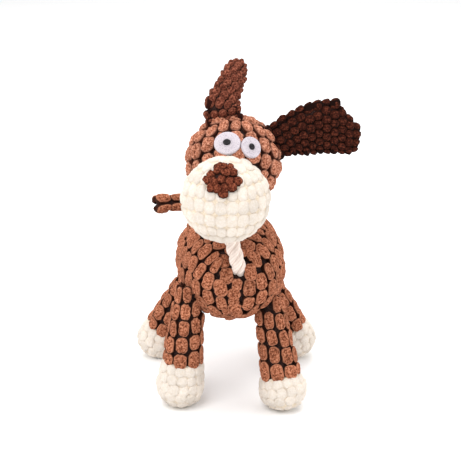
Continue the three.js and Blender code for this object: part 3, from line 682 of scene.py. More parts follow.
class Shader:
    """A material with one Principled shader, and short calls to wire nodes to it."""

    def __init__(self, name, roughness, specular=0.25):
        self.material = bpy.data.materials.new(name)
        self.material.use_nodes = True
        self.tree = self.material.node_tree
        self.surface = self.tree.nodes["Principled BSDF"]
        self.surface.inputs["Roughness"].default_value = roughness
        self.surface.inputs["Specular IOR Level"].default_value = specular
        self.place = self.node("ShaderNodeTexCoord").outputs["Object"]

    def node(self, kind, **settings):
        node = self.tree.nodes.new(kind)
        for name, value in settings.items():
            setattr(node, name, value)
        return node

    def plug(self, sockets, values):
        """Wires outputs to sockets, and sets those that get a number or a colour."""
        for socket, value in zip(sockets, values):
            if isinstance(value, (list, int, float)):
                socket.default_value = value
            else:
                self.tree.links.new(value, socket)

    def value(self, name):
        return self.node("ShaderNodeAttribute", attribute_name=name).outputs["Fac"]

    def grain(self, size, detail=2, rough=0.6):
        """Noise with features of a size in metres."""
        node = self.node("ShaderNodeTexNoise")
        names = ("Vector", "Scale", "Detail", "Roughness")
        self.plug([node.inputs[name] for name in names], (self.place, 1 / size, detail, rough))
        return node.outputs["Fac"]

    def cells(self, size):
        node = self.node("ShaderNodeTexVoronoi")
        self.plug([node.inputs["Vector"], node.inputs["Scale"]], (self.place, 1 / size))
        return node.outputs["Distance"]

    def fit(self, source, low, high, to_low=0.0, to_high=1.0):
        node = self.node("ShaderNodeMapRange")
        self.plug(node.inputs, (source, low, high, to_low, to_high))
        return node.outputs[0]

    def sums(self, kind, first, second=0):
        node = self.node("ShaderNodeMath", operation=kind)
        self.plug(node.inputs, (first, second))
        return node.outputs[0]

    def mix(self, share, first, second, blend="MIX"):
        node = self.node("ShaderNodeMix", data_type="RGBA", blend_type=blend)
        self.plug((node.inputs[0], node.inputs[6], node.inputs[7]), (share, first, second))
        return node.outputs[2]

    def colour(self, source):
        self.plug([self.surface.inputs["Base Color"]], [source])

    def bump(self, source, distance, strength=1.0):
        node = self.node("ShaderNodeBump")
        names = ("Height", "Distance", "Strength")
        self.plug([node.inputs[name] for name in names], (source, distance, strength))
        self.plug([self.surface.inputs["Normal"]], [node.outputs["Normal"]])

    def sheen(self, weight, roughness, tint):
        names = ("Sheen Weight", "Sheen Roughness", "Sheen Tint")
        self.plug([self.surface.inputs[name] for name in names], (weight, roughness, tint))


# Plush: sizes of clumps and patches; then both ends of a noise or value, and what it becomes there
CLUMP = 1.4 * MM
PATCH = 11 * MM
# Pits get painted shade, and rims and tips painted highlights; shades and tones are random per tuft and per
# patch
PIT_SHADE = (0.38, 0.49, 0.75, 0.0)
RIM_HIGHLIGHT = (0.8, 0.96, 0, 0.55)
TIP_HIGHLIGHT = (0.5, 0.64, 0, 0.75)
SHADES = (0, 1, 0.82, 1.03)
TONES = (0.3, 0.7, -0.05, 0.06)


def plush(name, shaded, middle, light, wall_shade=(0.5, 0.94), depth=0.7 * MM, sheen=0.1):
    """Short velvet pile, with painted shade down the walls of each tuft to its root and in the pits between
    clumps of fibre, and painted highlights at the clumps' tips and on each tuft's rim.
    """
    shaded, middle, light = linear(*shaded), linear(*middle), linear(*light)
    shader = Shader(name, roughness=0.95, specular=0.08)
    clumps = shader.grain(CLUMP, detail=3, rough=0.62)
    patches = shader.grain(PATCH, detail=1)
    # Painted shade: darker down each tuft's walls towards its root, where the furrows between tufts lie
    root = shader.fit(shader.value("pile"), *wall_shade)
    base = shader.mix(root, shaded, middle)
    # Painted shade in the pits between clumps of fibre
    base = shader.mix(shader.fit(clumps, *PIT_SHADE), base, shaded)
    # Painted highlights on each tuft's rim and at the clumps' tips, only above the root's painted shade
    highlights = shader.sums("MAXIMUM", shader.fit(shader.value("rim"), *RIM_HIGHLIGHT), shader.fit(clumps, *TIP_HIGHLIGHT))
    base = shader.mix(shader.sums("MULTIPLY", highlights, root), base, light)
    tone = shader.sums("ADD", shader.fit(shader.value("shade"), *SHADES), shader.fit(patches, *TONES))
    grey = shader.node("ShaderNodeCombineColor")
    shader.plug(grey.inputs, (tone, tone, tone))
    shader.colour(shader.mix(1.0, base, grey.outputs[0], "MULTIPLY"))
    shader.bump(clumps, depth)
    shader.sheen(sheen, roughness=0.4, tint=light)
    return shader.material


def net(name, dark, thread):
    """The knitted backing that shows between the tufts, with painted shade in its holes."""
    shader = Shader(name, 0.9)
    holes = shader.cells(1.1 * MM)
    shader.colour(shader.mix(shader.fit(holes, 0.2, 0.6), linear(*thread), linear(*dark)))
    shader.bump(holes, 0.3 * MM, -0.7)
    return shader.material


def yarn_lines(shader):
    """Waves that the rim value counts."""
    return shader.sums("SINE", shader.sums("MULTIPLY", shader.value("rim"), FULL_TURN))


def cotton(name, pale, crease_shade):
    """Rope yarn: fine threads that run round each strand, with painted shade in the creases between strands
    and yarns and in the hollows of the fuzz.
    """
    shader = Shader(name, 0.85)
    pale, crease_shade = linear(*pale), linear(*crease_shade)
    lines = yarn_lines(shader)
    fuzz = shader.grain(0.8 * MM, detail=3)
    base = shader.mix(shader.fit(shader.value("pile"), 0.0, 0.75), crease_shade, pale)
    soft = shader.mix(shader.fit(lines, -1, 0.2, 0.28, 0.0), base, crease_shade)
    shader.colour(shader.mix(shader.fit(fuzz, 0.3, 0.5, 0.25, 0.0), soft, crease_shade))
    shader.bump(shader.sums("ADD", shader.fit(lines, -1, 1, 0, 0.5), fuzz), 0.25 * MM, 0.6)
    shader.sheen(0.25, roughness=0.5, tint=pale)
    return shader.material


def thread(name, bright, dull_and_shade, gloss=0.55):
    """Satin stitches laid side by side; the rim value counts them. The grooves between stitches and the
    hollows of the specks get painted shade, and dots of the same dull colour lie over them.
    """
    shader = Shader(name, gloss)
    bright, dull_and_shade = linear(*bright), linear(*dull_and_shade)
    lines = yarn_lines(shader)
    specks = shader.grain(0.7 * MM)
    base = shader.mix(shader.fit(lines, -1, 1, 0.4, 0.0), bright, dull_and_shade)
    base = shader.mix(shader.fit(specks, 0.34, 0.46, 0.7, 0.0), base, dull_and_shade)
    shader.colour(shader.mix(shader.fit(shader.cells(2 * MM), 0.1, 0.26, 0.75, 0.0), base, dull_and_shade))
    shader.bump(shader.sums("ADD", lines, specks), 0.12 * MM, 0.7)
    shader.sheen(0.2, roughness=0.4, tint=bright)
    return shader.material


def wadding(name, white):
    shader = Shader(name, 1.0)
    tangle = shader.grain(1.5 * MM, detail=5, rough=0.75)
    # Painted shade: the fill is dimmed in the hollows of its tangle of fibres
    shader.colour(shader.mix(shader.fit(tangle, 0.35, 0.6), dimmed(white, 0.75), white))
    shader.bump(tangle, 0.8 * MM)
    return shader.material


def moulded(name, tint, roughness):
    """Thin blown or cut plastic with faint flow marks."""
    shader = Shader(name, roughness)
    flow = shader.grain(6 * MM, detail=3)
    shader.colour(shader.mix(shader.fit(flow, 0.3, 0.7), dimmed(tint, 0.9), tint))
    shader.bump(flow, 0.1 * MM, 0.3)
    return shader.material


# Each plush: its painted shade's colour, its middle colour, its painted highlights' colour, then the pile
# heights over which the painted shade at the root gives way
BROWN = plush("brown_plush", (50, 24, 16), (150, 88, 62), (210, 144, 112), (0.78, 0.97), sheen=0.12)
# A lighter copy of the body's brown plush for the head: painted light, for the light that falls on its tufts
LIT_HEAD_BROWN = plush("head_plush", (66, 31, 21), (170, 105, 79), (226, 168, 142), (0.76, 0.98), sheen=0.2)
# The ears' plush in two copies that paint how light falls on each ear: this darker one, painted shade, for
# the left ear
SHADED_EAR_PLUSH = plush("dark_brown_plush", (24, 9, 6), (56, 23, 15), (108, 55, 38), (0.6, 0.97), sheen=0.01)
NOSE_BROWN = plush("nose_plush", (32, 11, 7), (104, 50, 34), (160, 92, 66), (0.5, 0.92), sheen=0.02)
# The lighter copy of the ears' plush, painted light, for the right ear
LIT_EAR_PLUSH = plush("lit_ear_plush", (40, 15, 10), (102, 52, 38), (168, 102, 80), (0.45, 0.96), sheen=0.05)
CREAM = plush("cream_plush", (208, 196, 181), (211, 201, 190), (220, 211, 203), depth=0.5 * MM, sheen=0.05)
BACKING = net("brown_net", (34, 19, 16), (62, 38, 33))
PALE_BACKING = net("cream_net", (206, 190, 168), (222, 209, 192))
# The rope's second colour is the painted shade of its creases
ROPE = cotton("cotton_rope", (236, 222, 212), (178, 152, 135))
EYE_THREAD = thread("eye_thread", (213, 205, 209), (150, 138, 156))
PUPIL_THREAD = thread("pupil_thread", (22, 18, 24), (8, 6, 9), gloss=0.35)
FILLING = wadding("polyester_fill", linear(246, 245, 240))
PLASTIC = moulded("squeaker_plastic", linear(243, 243, 239), 0.35)
REED = moulded("reed_strip", linear(196, 196, 200), 0.3)


# Forms in their places. The neck's shares are the way from the head's middle to the rope's end; the muzzle's
# are of the head's half sizes
NECK_FOOT = joint_place("neck_sway")
NECK_TOP = joint_place("head_turn")
NECK_AXIS = unit(NECK_TOP - NECK_FOOT)
NECK_SHARES = np.array([-0.26, -0.11, -0.96])
MUZZLE_SHARES = np.array([-0.23, -1.05, -0.5])
BODY_CENTRE = box_centre("body_cover")
HEAD_CENTRE = NECK_TOP - NECK_SHARES / np.linalg.norm(NECK_SHARES / HEAD_HALF)
MUZZLE_CENTRE = HEAD_CENTRE + MUZZLE_SHARES * HEAD_HALF
TORSO = Egg(BODY_CENTRE, BODY_HALF, BODY_POWER, BODY_SPINE, BODY_TILT)
HEAD = Egg(HEAD_CENTRE, HEAD_HALF, tilt=HEAD_TILT)
MUZZLE = Egg(MUZZLE_CENTRE, MUZZLE_HALF)

# Stuffing: its depth under the surface of an egg, where its lumps are in the noise, and their heights
EGG_FILLING_DEPTH = 6 * MM
FILLING_PHASE = 9.0
FILLING_LUMP = 0.5 * MM
LEG_LUMP = 0.4 * MM


def finish_piece(piece, body, nodes):
    if body:
        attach(piece, body)
    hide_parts(*nodes)
    return piece


def make_cover(name, rings, spots, materials, body, slot, node, fill, high, seed, **tufts):
    """A cover: a skin of net with tufts on it."""
    sewing = Sewing()
    sewing.add_skin(rings, slot=1)
    add_tufts(sewing, spots, high, seed, **tufts)
    return finish_piece(sewing.mesh(name, materials), body, [node])


def make_filling(name, rings, body, node, lump=0.0, size=6 * MM):
    sewing = Sewing()
    sewing.add_skin(rings + (noise(rings, size, FILLING_PHASE) * lump)[..., None])
    finish_piece(sewing.mesh(name, [FILLING]), body, [node])


# Legs
# A sleeve's shares of its length and of its growth, and the paw's form
SLEEVE = ((0, 0), (0.35, 0.4), (0.7, 0.75), (1, 1))
PAW_POWER = 2.4
PAW_RINGS = 13
SOLE_PRESS = 0.5 * MM

# Tufts: how much lower a row is on the leg's outer side, the last row's middle above the ankle as a share of
# a row, the first row of the paw as a share of its pitch, and the level of the torso that a root may sink to
LEG_COLUMNS = 8
LEG_TILT = 3.6 * MM
FIRST_ROW = 0.42
FIRST_PAW_ROW = 0.36
ROOT_LEVEL = 0.93

TUCK = 1 * MM
SKIN_START = -4 * MM
PAW_NET_DEPTH = 1.4 * MM
LEG_FILLING_DEPTH = 5.5 * MM
SOLE_CLEARANCE = 1 * MM
FILL_START = 13 * MM


class Leg:
    def __init__(self, name, x, y, radius, collar, seeds):
        self.name = name
        self.seeds = seeds
        self.hip = joint_place(f"hip_{name}")
        foot = BODY_CENTRE + point([x, y, 0])
        lean = math.atan2(math.hypot(*(foot - self.hip)[:2]), self.hip[2] - radius)
        dual = PAW_POWER / (PAW_POWER - 1)
        foot[2] = radius * (math.sin(lean) ** dual + math.cos(lean) ** dual) ** (1 / dual) - SOLE_PRESS
        self.outer = np.sign(x)
        self.radius = radius
        self.collar = collar
        self.centre_at = np.linalg.norm(foot - self.hip)
        self.axis = (foot - self.hip) / self.centre_at
        self.ankle = self.centre_at - collar
        self.end = self.centre_at + radius
        self.tube = Tube(self.path, BACKWARD, self.sections())

    def path(self, share):
        return self.hip + self.axis * (share * self.end)[:, None]

    def sections(self):
        growth = ANKLE_RADIUS - HIP_RADIUS
        rings = [(self.ankle * at, HIP_RADIUS + growth * grown) for at, grown in SLEEVE]
        rings.append((self.centre_at - self.collar / 2, (self.radius + ANKLE_RADIUS) / 2))
        for share in np.sin(np.linspace(0, math.pi / 2, PAW_RINGS + 1))[:-1]:
            wide = self.radius * (1 - share ** PAW_POWER) ** (1 / PAW_POWER)
            rings.append((self.centre_at + self.radius * share, wide))
        rings.append((self.end, LEAST_HALF))
        return [(at, wide, wide, 0) for at, wide in rings]


# Name, place of the foot from the torso's middle, paw's radius, length from the ankle to the paw's middle,
# and seeds of the sleeve's and the paw's tufts
LEGS = [
    Leg("front_right", -41.67 * MM, -36.95 * MM, FRONT_PAW_RADIUS, 18 * MM, seeds=(60, 101)),
    Leg("front_left", 36.87 * MM, -48.95 * MM, FRONT_PAW_RADIUS, 8 * MM, seeds=(61, 100)),
    Leg("rear_right", -56.27 * MM, 52.02 * MM, REAR_PAW_RADIUS, 10 * MM, seeds=(62, 100)),
    Leg("rear_left", 56.27 * MM, 44.02 * MM, REAR_PAW_RADIUS, 10 * MM, seeds=(63, 99)),
]


def leg_spots(leg):
    """Rows of tufts from the ankle up into the torso, with the lowest row stretched to the ankle."""
    rows = np.arange(leg.ankle - COARSE_LONG * FIRST_ROW, -COARSE_LONG, -COARSE_LONG)
    column, along = crossed(np.arange(LEG_COLUMNS), rows)
    share = (column + FIRST_TUFT) / LEG_COLUMNS
    along = along - leg.outer * LEG_TILT * np.cos(leg.tube.turn_at(share, np.maximum(along, 0)))
    long = np.full(len(along), COARSE_LONG)
    last = along > leg.ankle - COARSE_LONG
    long[last] = leg.ankle + TUCK - along[last] + COARSE_LONG / 2
    along[last] += (long[last] - COARSE_LONG) / 2
    wide = leg.tube.rim(np.maximum(along, 0)) / LEG_COLUMNS
    spots = leg.tube.spots(share, along, wide, long)
    return spots.kept(TORSO.level(spots.places - spots.normals * NET_DEPTH) > ROOT_LEVEL)


def make_leg(leg):
    rings = leg.tube.skin(NET_DEPTH, SKIN_START, leg.ankle + TUCK, 20, 40)
    piece = make_cover(f"leg_plush_{leg.name}", rings, leg_spots(leg), [BROWN, BACKING], None, "brown_plush",
                       f"leg_sleeve_{leg.name}", fill=0.85, high=COARSE_HIGH, seed=leg.seeds[0],
                       gap=LEG_FURROW)
    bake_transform(piece)


def make_paw(leg):
    rings = leg.tube.skin(PAW_NET_DEPTH, leg.ankle - TUCK, leg.end - 2 * MM, 24, 40)
    rings[..., 2] = np.maximum(rings[..., 2], SOLE_CLEARANCE)
    spots = popcorn_spots(leg.tube, leg.ankle + PAW_PITCH * FIRST_PAW_ROW, leg.end - 1 * MM, PAW_PITCH)
    make_cover(f"paw_plush_{leg.name}", rings, spots, [CREAM, PALE_BACKING], f"leg_{leg.name}",
               "cream_plush", f"paw_{leg.name}", fill=0.85, high=CREAM_HIGH, seed=leg.seeds[1],
               gap=-1 * MM, **SMOOTH)
    inside = leg.tube.skin(LEG_FILLING_DEPTH, FILL_START, leg.end - 6 * MM, 24, 32)
    make_filling(f"leg_filling_{leg.name}", inside, f"leg_{leg.name}", f"leg_stuffing_{leg.name}",
                 lump=LEG_LUMP, size=5 * MM)


# Torso. Its middle column of the front is left out here, across the seam and up it
SEAM_HALF = 3 * MM
SEAM_REACH = (-40 * MM, 10 * MM)

# Short tufts of the front seam and round the rope's foot: sideways and up from the foot, width and length,
# and how far each is pressed in by the rope that sways over it
COLLAR = point([[-10.4, -3.5, 12.5, 13, 0.4], [8.2, -1.2, 11.5, 13.5, 0], [-2.7, -10.6, 9.5, 9.5, 0],
                [-5.4, -18.8, 11.5, 8.8, 0], [-5.8, -27.5, 10.5, 9.4, 0], [-5.2, -36.5, 11.5, 9.6, 0],
                [-12.2, 9.5, 10, 12.5, 3.4], [14.5, 8.5, 11, 14, 0], [9.8, 13.5, 8, 12, 0.5]]) * MM
COLLAR_BEND = 1 / (40 * MM)

# Room that tufts leave: round the rope for the lattice's and for those that fill patches, round the collar's
# tufts, at the tail's joint, and in a leg; and how far a leg starts above its hip
ROPE_CLEARANCE = 9.2 * MM
PATCH_CLEARANCE = 7 * MM
COLLAR_CLEARANCE = 7.6 * MM
TAIL_CLEARANCE = 10 * MM
LEG_OVERLAP = 3 * MM
HIP_START = -2 * MM


def collar_spots():
    """Short tufts that hug the rope where it goes in, and those of the seam under it."""
    normal = TORSO.normal(NECK_FOOT)
    side = unit(np.cross(UPWARD, normal))
    upright = np.cross(normal, side)
    near = NECK_FOOT + COLLAR[:, :1] * side + COLLAR[:, 1:2] * upright
    places = TORSO.hit(BODY_CENTRE, unit(near - BODY_CENTRE))
    normals = TORSO.normal(places)
    alongs = np.broadcast_to(upright, places.shape)
    bends = np.full((len(COLLAR), 2), COLLAR_BEND)
    return Spots(places - normals * COLLAR[:, 4:], normals, alongs, COLLAR[:, 2:4], bends)


def clear_of_limbs(places, from_rope, into_leg):
    along = np.maximum((places - NECK_FOOT) @ NECK_AXIS, 0)[:, None]
    clear = np.linalg.norm(places - NECK_FOOT - along * NECK_AXIS, axis=1) > from_rope
    clear &= np.linalg.norm(places - joint_place("tail_wag"), axis=1) > TAIL_CLEARANCE
    for leg in LEGS:
        offset = places - leg.hip
        along = offset @ leg.axis
        aside = np.linalg.norm(offset - along[:, None] * leg.axis, axis=1)
        radius, _ = leg.tube.half(np.clip(along, 0, leg.ankle))
        clear &= ~((along > HIP_START) & (aside < radius - into_leg))
    return clear


def torso_spots():
    spots, keep, across, up = TORSO.lattice(BODY_TUFTS)
    keep &= ~((np.abs(across) < SEAM_HALF) & (up > SEAM_REACH[0]) & (up < SEAM_REACH[1]))
    keep &= clear_of_limbs(spots.places, ROPE_CLEARANCE, LEG_OVERLAP)
    collar = collar_spots()
    for place in collar.places:
        keep &= np.linalg.norm(spots.places - place, axis=1) > COLLAR_CLEARANCE
    bare = TORSO.bare()
    bare = bare.kept(clear_of_limbs(bare.places, PATCH_CLEARANCE, 0))
    return filled(joined(spots.kept(keep), collar), bare)


def make_torso():
    make_cover("torso_plush", TORSO.skin(NET_DEPTH, 60, 96), torso_spots(), [BROWN, BACKING], "torso",
               "brown_plush", "body_cover", fill=0.9, high=COARSE_HIGH, seed=21)
    inside = TORSO.skin(EGG_FILLING_DEPTH, 30, 48)
    make_filling("torso_filling", inside, "torso", "body_stuffing", lump=FILLING_LUMP)


# Head: levels of the muzzle where the head's tufts stop, and of the head where the muzzle's do
ROPE_TOP_CLEARANCE = 9 * MM
MUZZLE_LEVEL = 0.8
HEAD_LEVEL = 0.72
MUZZLE_NET_DEPTH = 1.5 * MM


def clear_of_muzzle(places, level):
    clear_of_rope = np.linalg.norm(places - NECK_TOP, axis=1) > ROPE_TOP_CLEARANCE
    return (MUZZLE.level(places) > level) & clear_of_rope


def head_spots():
    spots, keep, _, _ = HEAD.lattice(HEAD_TUFTS)
    bare = HEAD.bare()
    bare = bare.kept(clear_of_muzzle(bare.places, 1))
    return filled(spots.kept(keep & clear_of_muzzle(spots.places, MUZZLE_LEVEL)), bare)


def make_head():
    make_cover("head_plush", HEAD.skin(NET_DEPTH, 40, 72), head_spots(), [LIT_HEAD_BROWN, BACKING], "head",
               "brown_plush", "head_cover", fill=0.9, high=COARSE_HIGH, seed=41, kind=FLUFF, gap=0.8 * MM,
               rough=2)
    for name, egg in (("head", HEAD), ("muzzle", MUZZLE)):
        inside = egg.skin(EGG_FILLING_DEPTH, 24, 40)
        make_filling(f"{name}_filling", inside, "head", f"{name}_stuffing", lump=FILLING_LUMP)


# Nose: popcorn tufts on a shield of net. Both are given across and up from the nose's middle, which lies on
# the muzzle in the way of the shares
NOSE_SHARES = np.array([-0.09, -0.7, 0.72])
NOSE_OUTLINE = point([[-3.6, 13], [4.4, 13], [11, 7.6], [14.6, 2.4], [10.6, -7.6], [0.4, -11.8], [-8, -6.4],
                      [-14, 0], [-9.6, 8.4]]) * MM
NOSE_SPOTS = point([[0.7, 10.8], [-6.2, 6], [-1.1, 5], [4.7, 6.9], [9.4, 4.2], [-10, -0.1], [-4, -0.9],
                    [1.8, -0.1], [6.5, -1.6], [11.6, 0.9], [-6.2, -5.1], [-0.7, -6], [4.7, -6.3],
                    [9.1, -5.2], [0.2, -10], [-3.6, 10], [4, 10.4]]) * MM
NOSE_CLEARANCE = 7 * MM
NOSE_TUFT = 8.2 * MM
NOSE_BEND = 1 / (14 * MM)
NOSE_LIFT = 1.6 * MM
NOSE_CROWN = 2.2 * MM
NOSE_REACH = 16 * MM
NOSE_PROBE = 0.5 * MM
NOSE_TURN = 0.45

# The net's rings: share of the outline, and height over the muzzle
NOSE_NET = [(0.8, -1.5 * MM), (0.776, 0), (0.64, 0.3 * MM), (0.4, 0.6 * MM), (0.08, 0.7 * MM)]


def nose_places(first, second):
    """Points on the muzzle at lengths across and up from the nose's middle."""
    forward = unit(NOSE_SHARES)
    side = unit(np.cross(forward, UPWARD))
    upright = np.cross(side, forward)
    far = np.hypot(first, second)[..., None] + TINY
    angle = far / MUZZLE_HALF.mean()
    aside = (side * first[..., None] + upright * second[..., None]) / far
    return MUZZLE.hit(MUZZLE_CENTRE, forward * np.cos(angle) + aside * np.sin(angle))


def nose_spots():
    first, second = NOSE_SPOTS.T
    here = nose_places(first, second)
    step = nose_places(first, second + NOSE_PROBE) - here
    normals = MUZZLE.normal(here)
    crown = 1 - (np.hypot(first, second) / NOSE_REACH) ** 2
    places = here + normals * (NOSE_LIFT + NOSE_CROWN * crown)[:, None]
    turn = np.random.default_rng(51).uniform(-NOSE_TURN, NOSE_TURN, (len(here), 1))
    alongs = unit(step) + np.cross(normals, step) / NOSE_PROBE * turn
    sizes, bends = (np.full((len(here), 2), value) for value in (NOSE_TUFT, NOSE_BEND))
    return Spots(places, normals, alongs, sizes, bends)


def make_nose():
    turn = around(48)
    sideways, upward = NOSE_OUTLINE.T
    reach = np.interp(turn, np.arctan2(upward, sideways), np.hypot(sideways, upward), period=FULL_TURN)
    shares, lifts = point(NOSE_NET).T[..., None]
    rings = nose_places(shares * reach * np.cos(turn), shares * reach * np.sin(turn))
    rings = rings + MUZZLE.normal(rings) * lifts[..., None]
    make_cover("nose_plush", rings, nose_spots(), [NOSE_BROWN, BACKING], "head", "dark_brown_plush",
               "nose_patch", fill=0.8, high=POPCORN_HIGH, seed=52, kind=BALL, gap=-0.6 * MM, rough=2.6)


def make_muzzle():
    spots, keep, _, _ = MUZZLE.lattice(MUZZLE_TUFTS)
    keep &= HEAD.level(spots.places) > HEAD_LEVEL
    middle = nose_places(np.zeros(1), np.zeros(1))
    keep &= np.linalg.norm(spots.places - middle, axis=1) > NOSE_CLEARANCE
    rings = MUZZLE.skin(MUZZLE_NET_DEPTH, 40, 72)
    make_cover("muzzle_plush", rings, spots.kept(keep), [CREAM, PALE_BACKING], "head", "cream_plush",
               "muzzle_cover", fill=0.9, high=CREAM_HIGH, seed=46, gap=-0.9 * MM, **SMOOTH)


# Eyes: felt discs with a satin stitch round the edge, and pupils stitched on them. Profiles are rows of a
# share of the radius and a height
EYE_SIZES = {"right": (9.5 * MM, 8.7 * MM), "left": (7.3 * MM, 7.9 * MM)}
PUPIL_SIZES = {"right": (2.8 * MM, 2.4 * MM), "left": (2.1 * MM, 2.4 * MM)}
EYE_PROFILE = point([(0.9, -2.4), (1.0, -0.6), (1.0, 0.9), (0.96, 1.5), (0.9, 1.6), (0.82, 1.35), (0.6, 1.5),
                     (0.3, 1.6), (0.05, 1.6)]) * [1, MM]
PUPIL_PROFILE = point([(1.0, -0.8), (1.0, 0.3), (0.88, 0.75), (0.6, 0.85), (0.4, 0.6), (0.1, 0.6)]) * [1, MM]
EYE_STITCHES = 72
PUPIL_STITCHES = 9
PUPIL_LIFT = 1.5 * MM


def head_place(node):
    return HEAD.hit(HEAD_CENTRE, unit(box_centre(node) - HEAD_CENTRE))


def make_disc(name, material, node, place, normal, half, profile, stitches, columns):
    """A round patch on the head."""
    turn = around(columns)
    side = unit(np.cross(UPWARD, normal))
    upright = np.cross(normal, side)
    shares, heights = profile.T[..., None]
    first, second = shares * np.cos(turn) * half[0], shares * np.sin(turn) * half[1]
    lift = heights - (first ** 2 + second ** 2) / (2 * HEAD_HALF.mean())
    rings = place + side * first[..., None] + upright * second[..., None] + normal * lift[..., None]
    count = np.broadcast_to(turn / FULL_TURN * stitches, first.shape)
    sewing = Sewing()
    sewing.add_skin(rings, rim=count, pile=1.0)
    finish_piece(sewing.mesh(name, [material]), "head", [node])


def make_eyes():
    for side in ("right", "left"):
        white, pupil = f"eye_white_{side}", f"pupil_{side}"
        place = head_place(white)
        normal = HEAD.normal(place)
        make_disc(f"eye_felt_{side}", EYE_THREAD, white, place, normal, EYE_SIZES[side],
                  EYE_PROFILE, EYE_STITCHES, 96)
        place = head_place(pupil) + normal * PUPIL_LIFT
        make_disc(f"pupil_thread_{side}", PUPIL_THREAD, pupil, place, normal,
                  PUPIL_SIZES[side], PUPIL_PROFILE, PUPIL_STITCHES, 48)


# Ears: length, bow of the middle as a share of it, and how the tip lies off upright: outward and backward
EARS = {
    "right": dict(length=46.5 * MM, curve=0.16, tilt=28.6, lean=45),
    "left": dict(length=58 * MM, curve=0.35, tilt=84, lean=0),
}

# Ears' sections, as the CAD has them: share of the length, half width and shift to the lower side in
# millimetres, and share of thickness
EAR_OUTLINES = {
    "right": [(0, 13.8, 0, 0.8), (0.09, 13.1, 0, 0.88), (0.22, 12, 0, 0.95), (0.45, 10.3, 0, 1),
              (0.68, 9.4, 0, 1), (0.86, 8.1, 0, 0.9), (0.96, 5.3, 0, 0.7), (1, 2.7, 0, 0.45)],
    "left": [(0, 14.1, 0, 0.8), (0.2, 17.7, 0, 0.95), (0.45, 20.2, -1.8, 1), (0.68, 20.6, -1.8, 1),
             (0.82, 16, 3.3, 0.95), (0.92, 12.9, 6.2, 0.85), (0.97, 9.6, 6.3, 0.7), (1, 5.2, 6.3, 0.45)],
}
EAR_THICK = 10.5 * MM
EAR_ROOT = -7 * MM
EAR_NET_DEPTH = 2.6 * MM
EAR_FILLING_DEPTH = 3.6 * MM


def ear_tube(side):
    ear = EARS[side]
    pivot = joint_place(f"ear_{side}_flop")
    tilt, lean = math.radians(ear["tilt"]), math.radians(ear["lean"])
    level = math.cos(lean)
    tip = point([math.sin(tilt) * level, math.sin(lean), math.cos(tilt) * level]) * ear["length"]
    elbow = np.cross(joint_axis(f"ear_{side}_flop"), BACKWARD) * ear["length"] * ear["curve"]

    def path(share):
        share = share[:, None]
        return pivot + 2 * share * (1 - share) * elbow + share ** 2 * tip

    length = measured(path)[0][-1]
    sections = [
        (at * length, wide * MM, EAR_THICK / 2 * thick, aside * MM)
        for at, wide, aside, thick in EAR_OUTLINES[side]
    ]
    return Tube(path, BACKWARD, sections)


def make_ear(side, seed, material):
    tube = ear_tube(side)
    rings = tube.skin(EAR_NET_DEPTH, EAR_ROOT, tube.length - 1.5 * MM, 30, 48)
    spots = popcorn_spots(tube, EAR_ROOT, tube.length + 1 * MM, POPCORN_PITCH)
    make_cover(f"ear_plush_{side}", rings, spots, [material, BACKING], f"ear_{side}", "dark_brown_plush",
               f"ear_cover_{side}", fill=0.6, high=POPCORN_HIGH, seed=seed, kind=CUSHION, gap=0.4 * MM,
               rough=0.8, tilt=0.3)
    inside = tube.skin(EAR_FILLING_DEPTH, 1 * MM, tube.length - 4 * MM, 16, 24)
    make_filling(f"ear_filling_{side}", inside, f"ear_{side}", f"ear_wadding_{side}")


# Tail: points of its path as shares of its length, and its sections as shares of the path and of the radius
TAIL_PATH = point([[0, 0, 0], [-0.1, 0.17, 0.06], [-0.32, 0.25, 0.1], [-0.6, 0.25, 0.11],
                   [-0.84, 0.17, 0.11]])
TAIL_OUTLINE = [(-0.15, 0.95), (0.35, 0.94), (0.7, 1), (0.92, 1), (0.98, 0.8), (1, 0.5)]
TAIL_COLUMNS = 4
TAIL_PHASE = 0.5 / TAIL_COLUMNS + 20 / 360
TAIL_SWINGS = (-30, 30)
TAIL_ROOT_LEVEL = 0.95
TAIL_LAST_ROW = 0.48
TAIL_FILLING_DEPTH = 5 * MM
TAIL_FILL_START = 9 * MM


def tail_path(share):
    """A smooth line through the tail's points."""
    knots = joint_place("tail_wag") + TAIL_PATH * TAIL_LENGTH
    padded = np.vstack([2 * knots[0] - knots[1], knots, 2 * knots[-1] - knots[-2]])
    spans = len(knots) - 1
    index = np.minimum((share * spans).astype(int), spans - 1)
    t = (share * spans - index)[:, None]
    a, b, c, d = (padded[index + k] for k in range(4))
    square, cube = 2 * a - 5 * b + 4 * c - d, 3 * b - a - 3 * c + d
    return (2 * b + (c - a) * t + square * t ** 2 + cube * t ** 3) / 2


def tail_spots(tube):
    rows = np.arange(tube.length - COARSE_LONG * TAIL_LAST_ROW, -2 * MM, -COARSE_LONG)
    column, along = crossed(np.arange(TAIL_COLUMNS), rows)
    spots = tube.spots(column / TAIL_COLUMNS + TAIL_PHASE, along, COARSE_WIDE, COARSE_LONG)
    keep = TORSO.level(spots.places - spots.normals * NET_DEPTH) > TAIL_ROOT_LEVEL
    for angle in TAIL_SWINGS:
        keep &= TORSO.level(swung(spots.places, "tail_wag", angle)) > 1
    return spots.kept(keep)


def make_tail():
    length = measured(tail_path)[0][-1]
    sections = [(at * length, TAIL_RADIUS * wide, TAIL_RADIUS * wide, 0) for at, wide in TAIL_OUTLINE]
    tube = Tube(tail_path, UPWARD, sections)
    rings = tube.skin(NET_DEPTH, SKIN_START, tube.length - 2 * MM, 24, 32)
    make_cover("tail_plush", rings, tail_spots(tube), [BROWN, BACKING], "tail", "brown_plush", "tail_cover",
               fill=0.8, high=COARSE_HIGH, seed=71)
    inside = tube.skin(TAIL_FILLING_DEPTH, TAIL_FILL_START, tube.length - 6 * MM, 16, 24)
    make_filling("tail_filling", inside, "tail", "tail_stuffing")


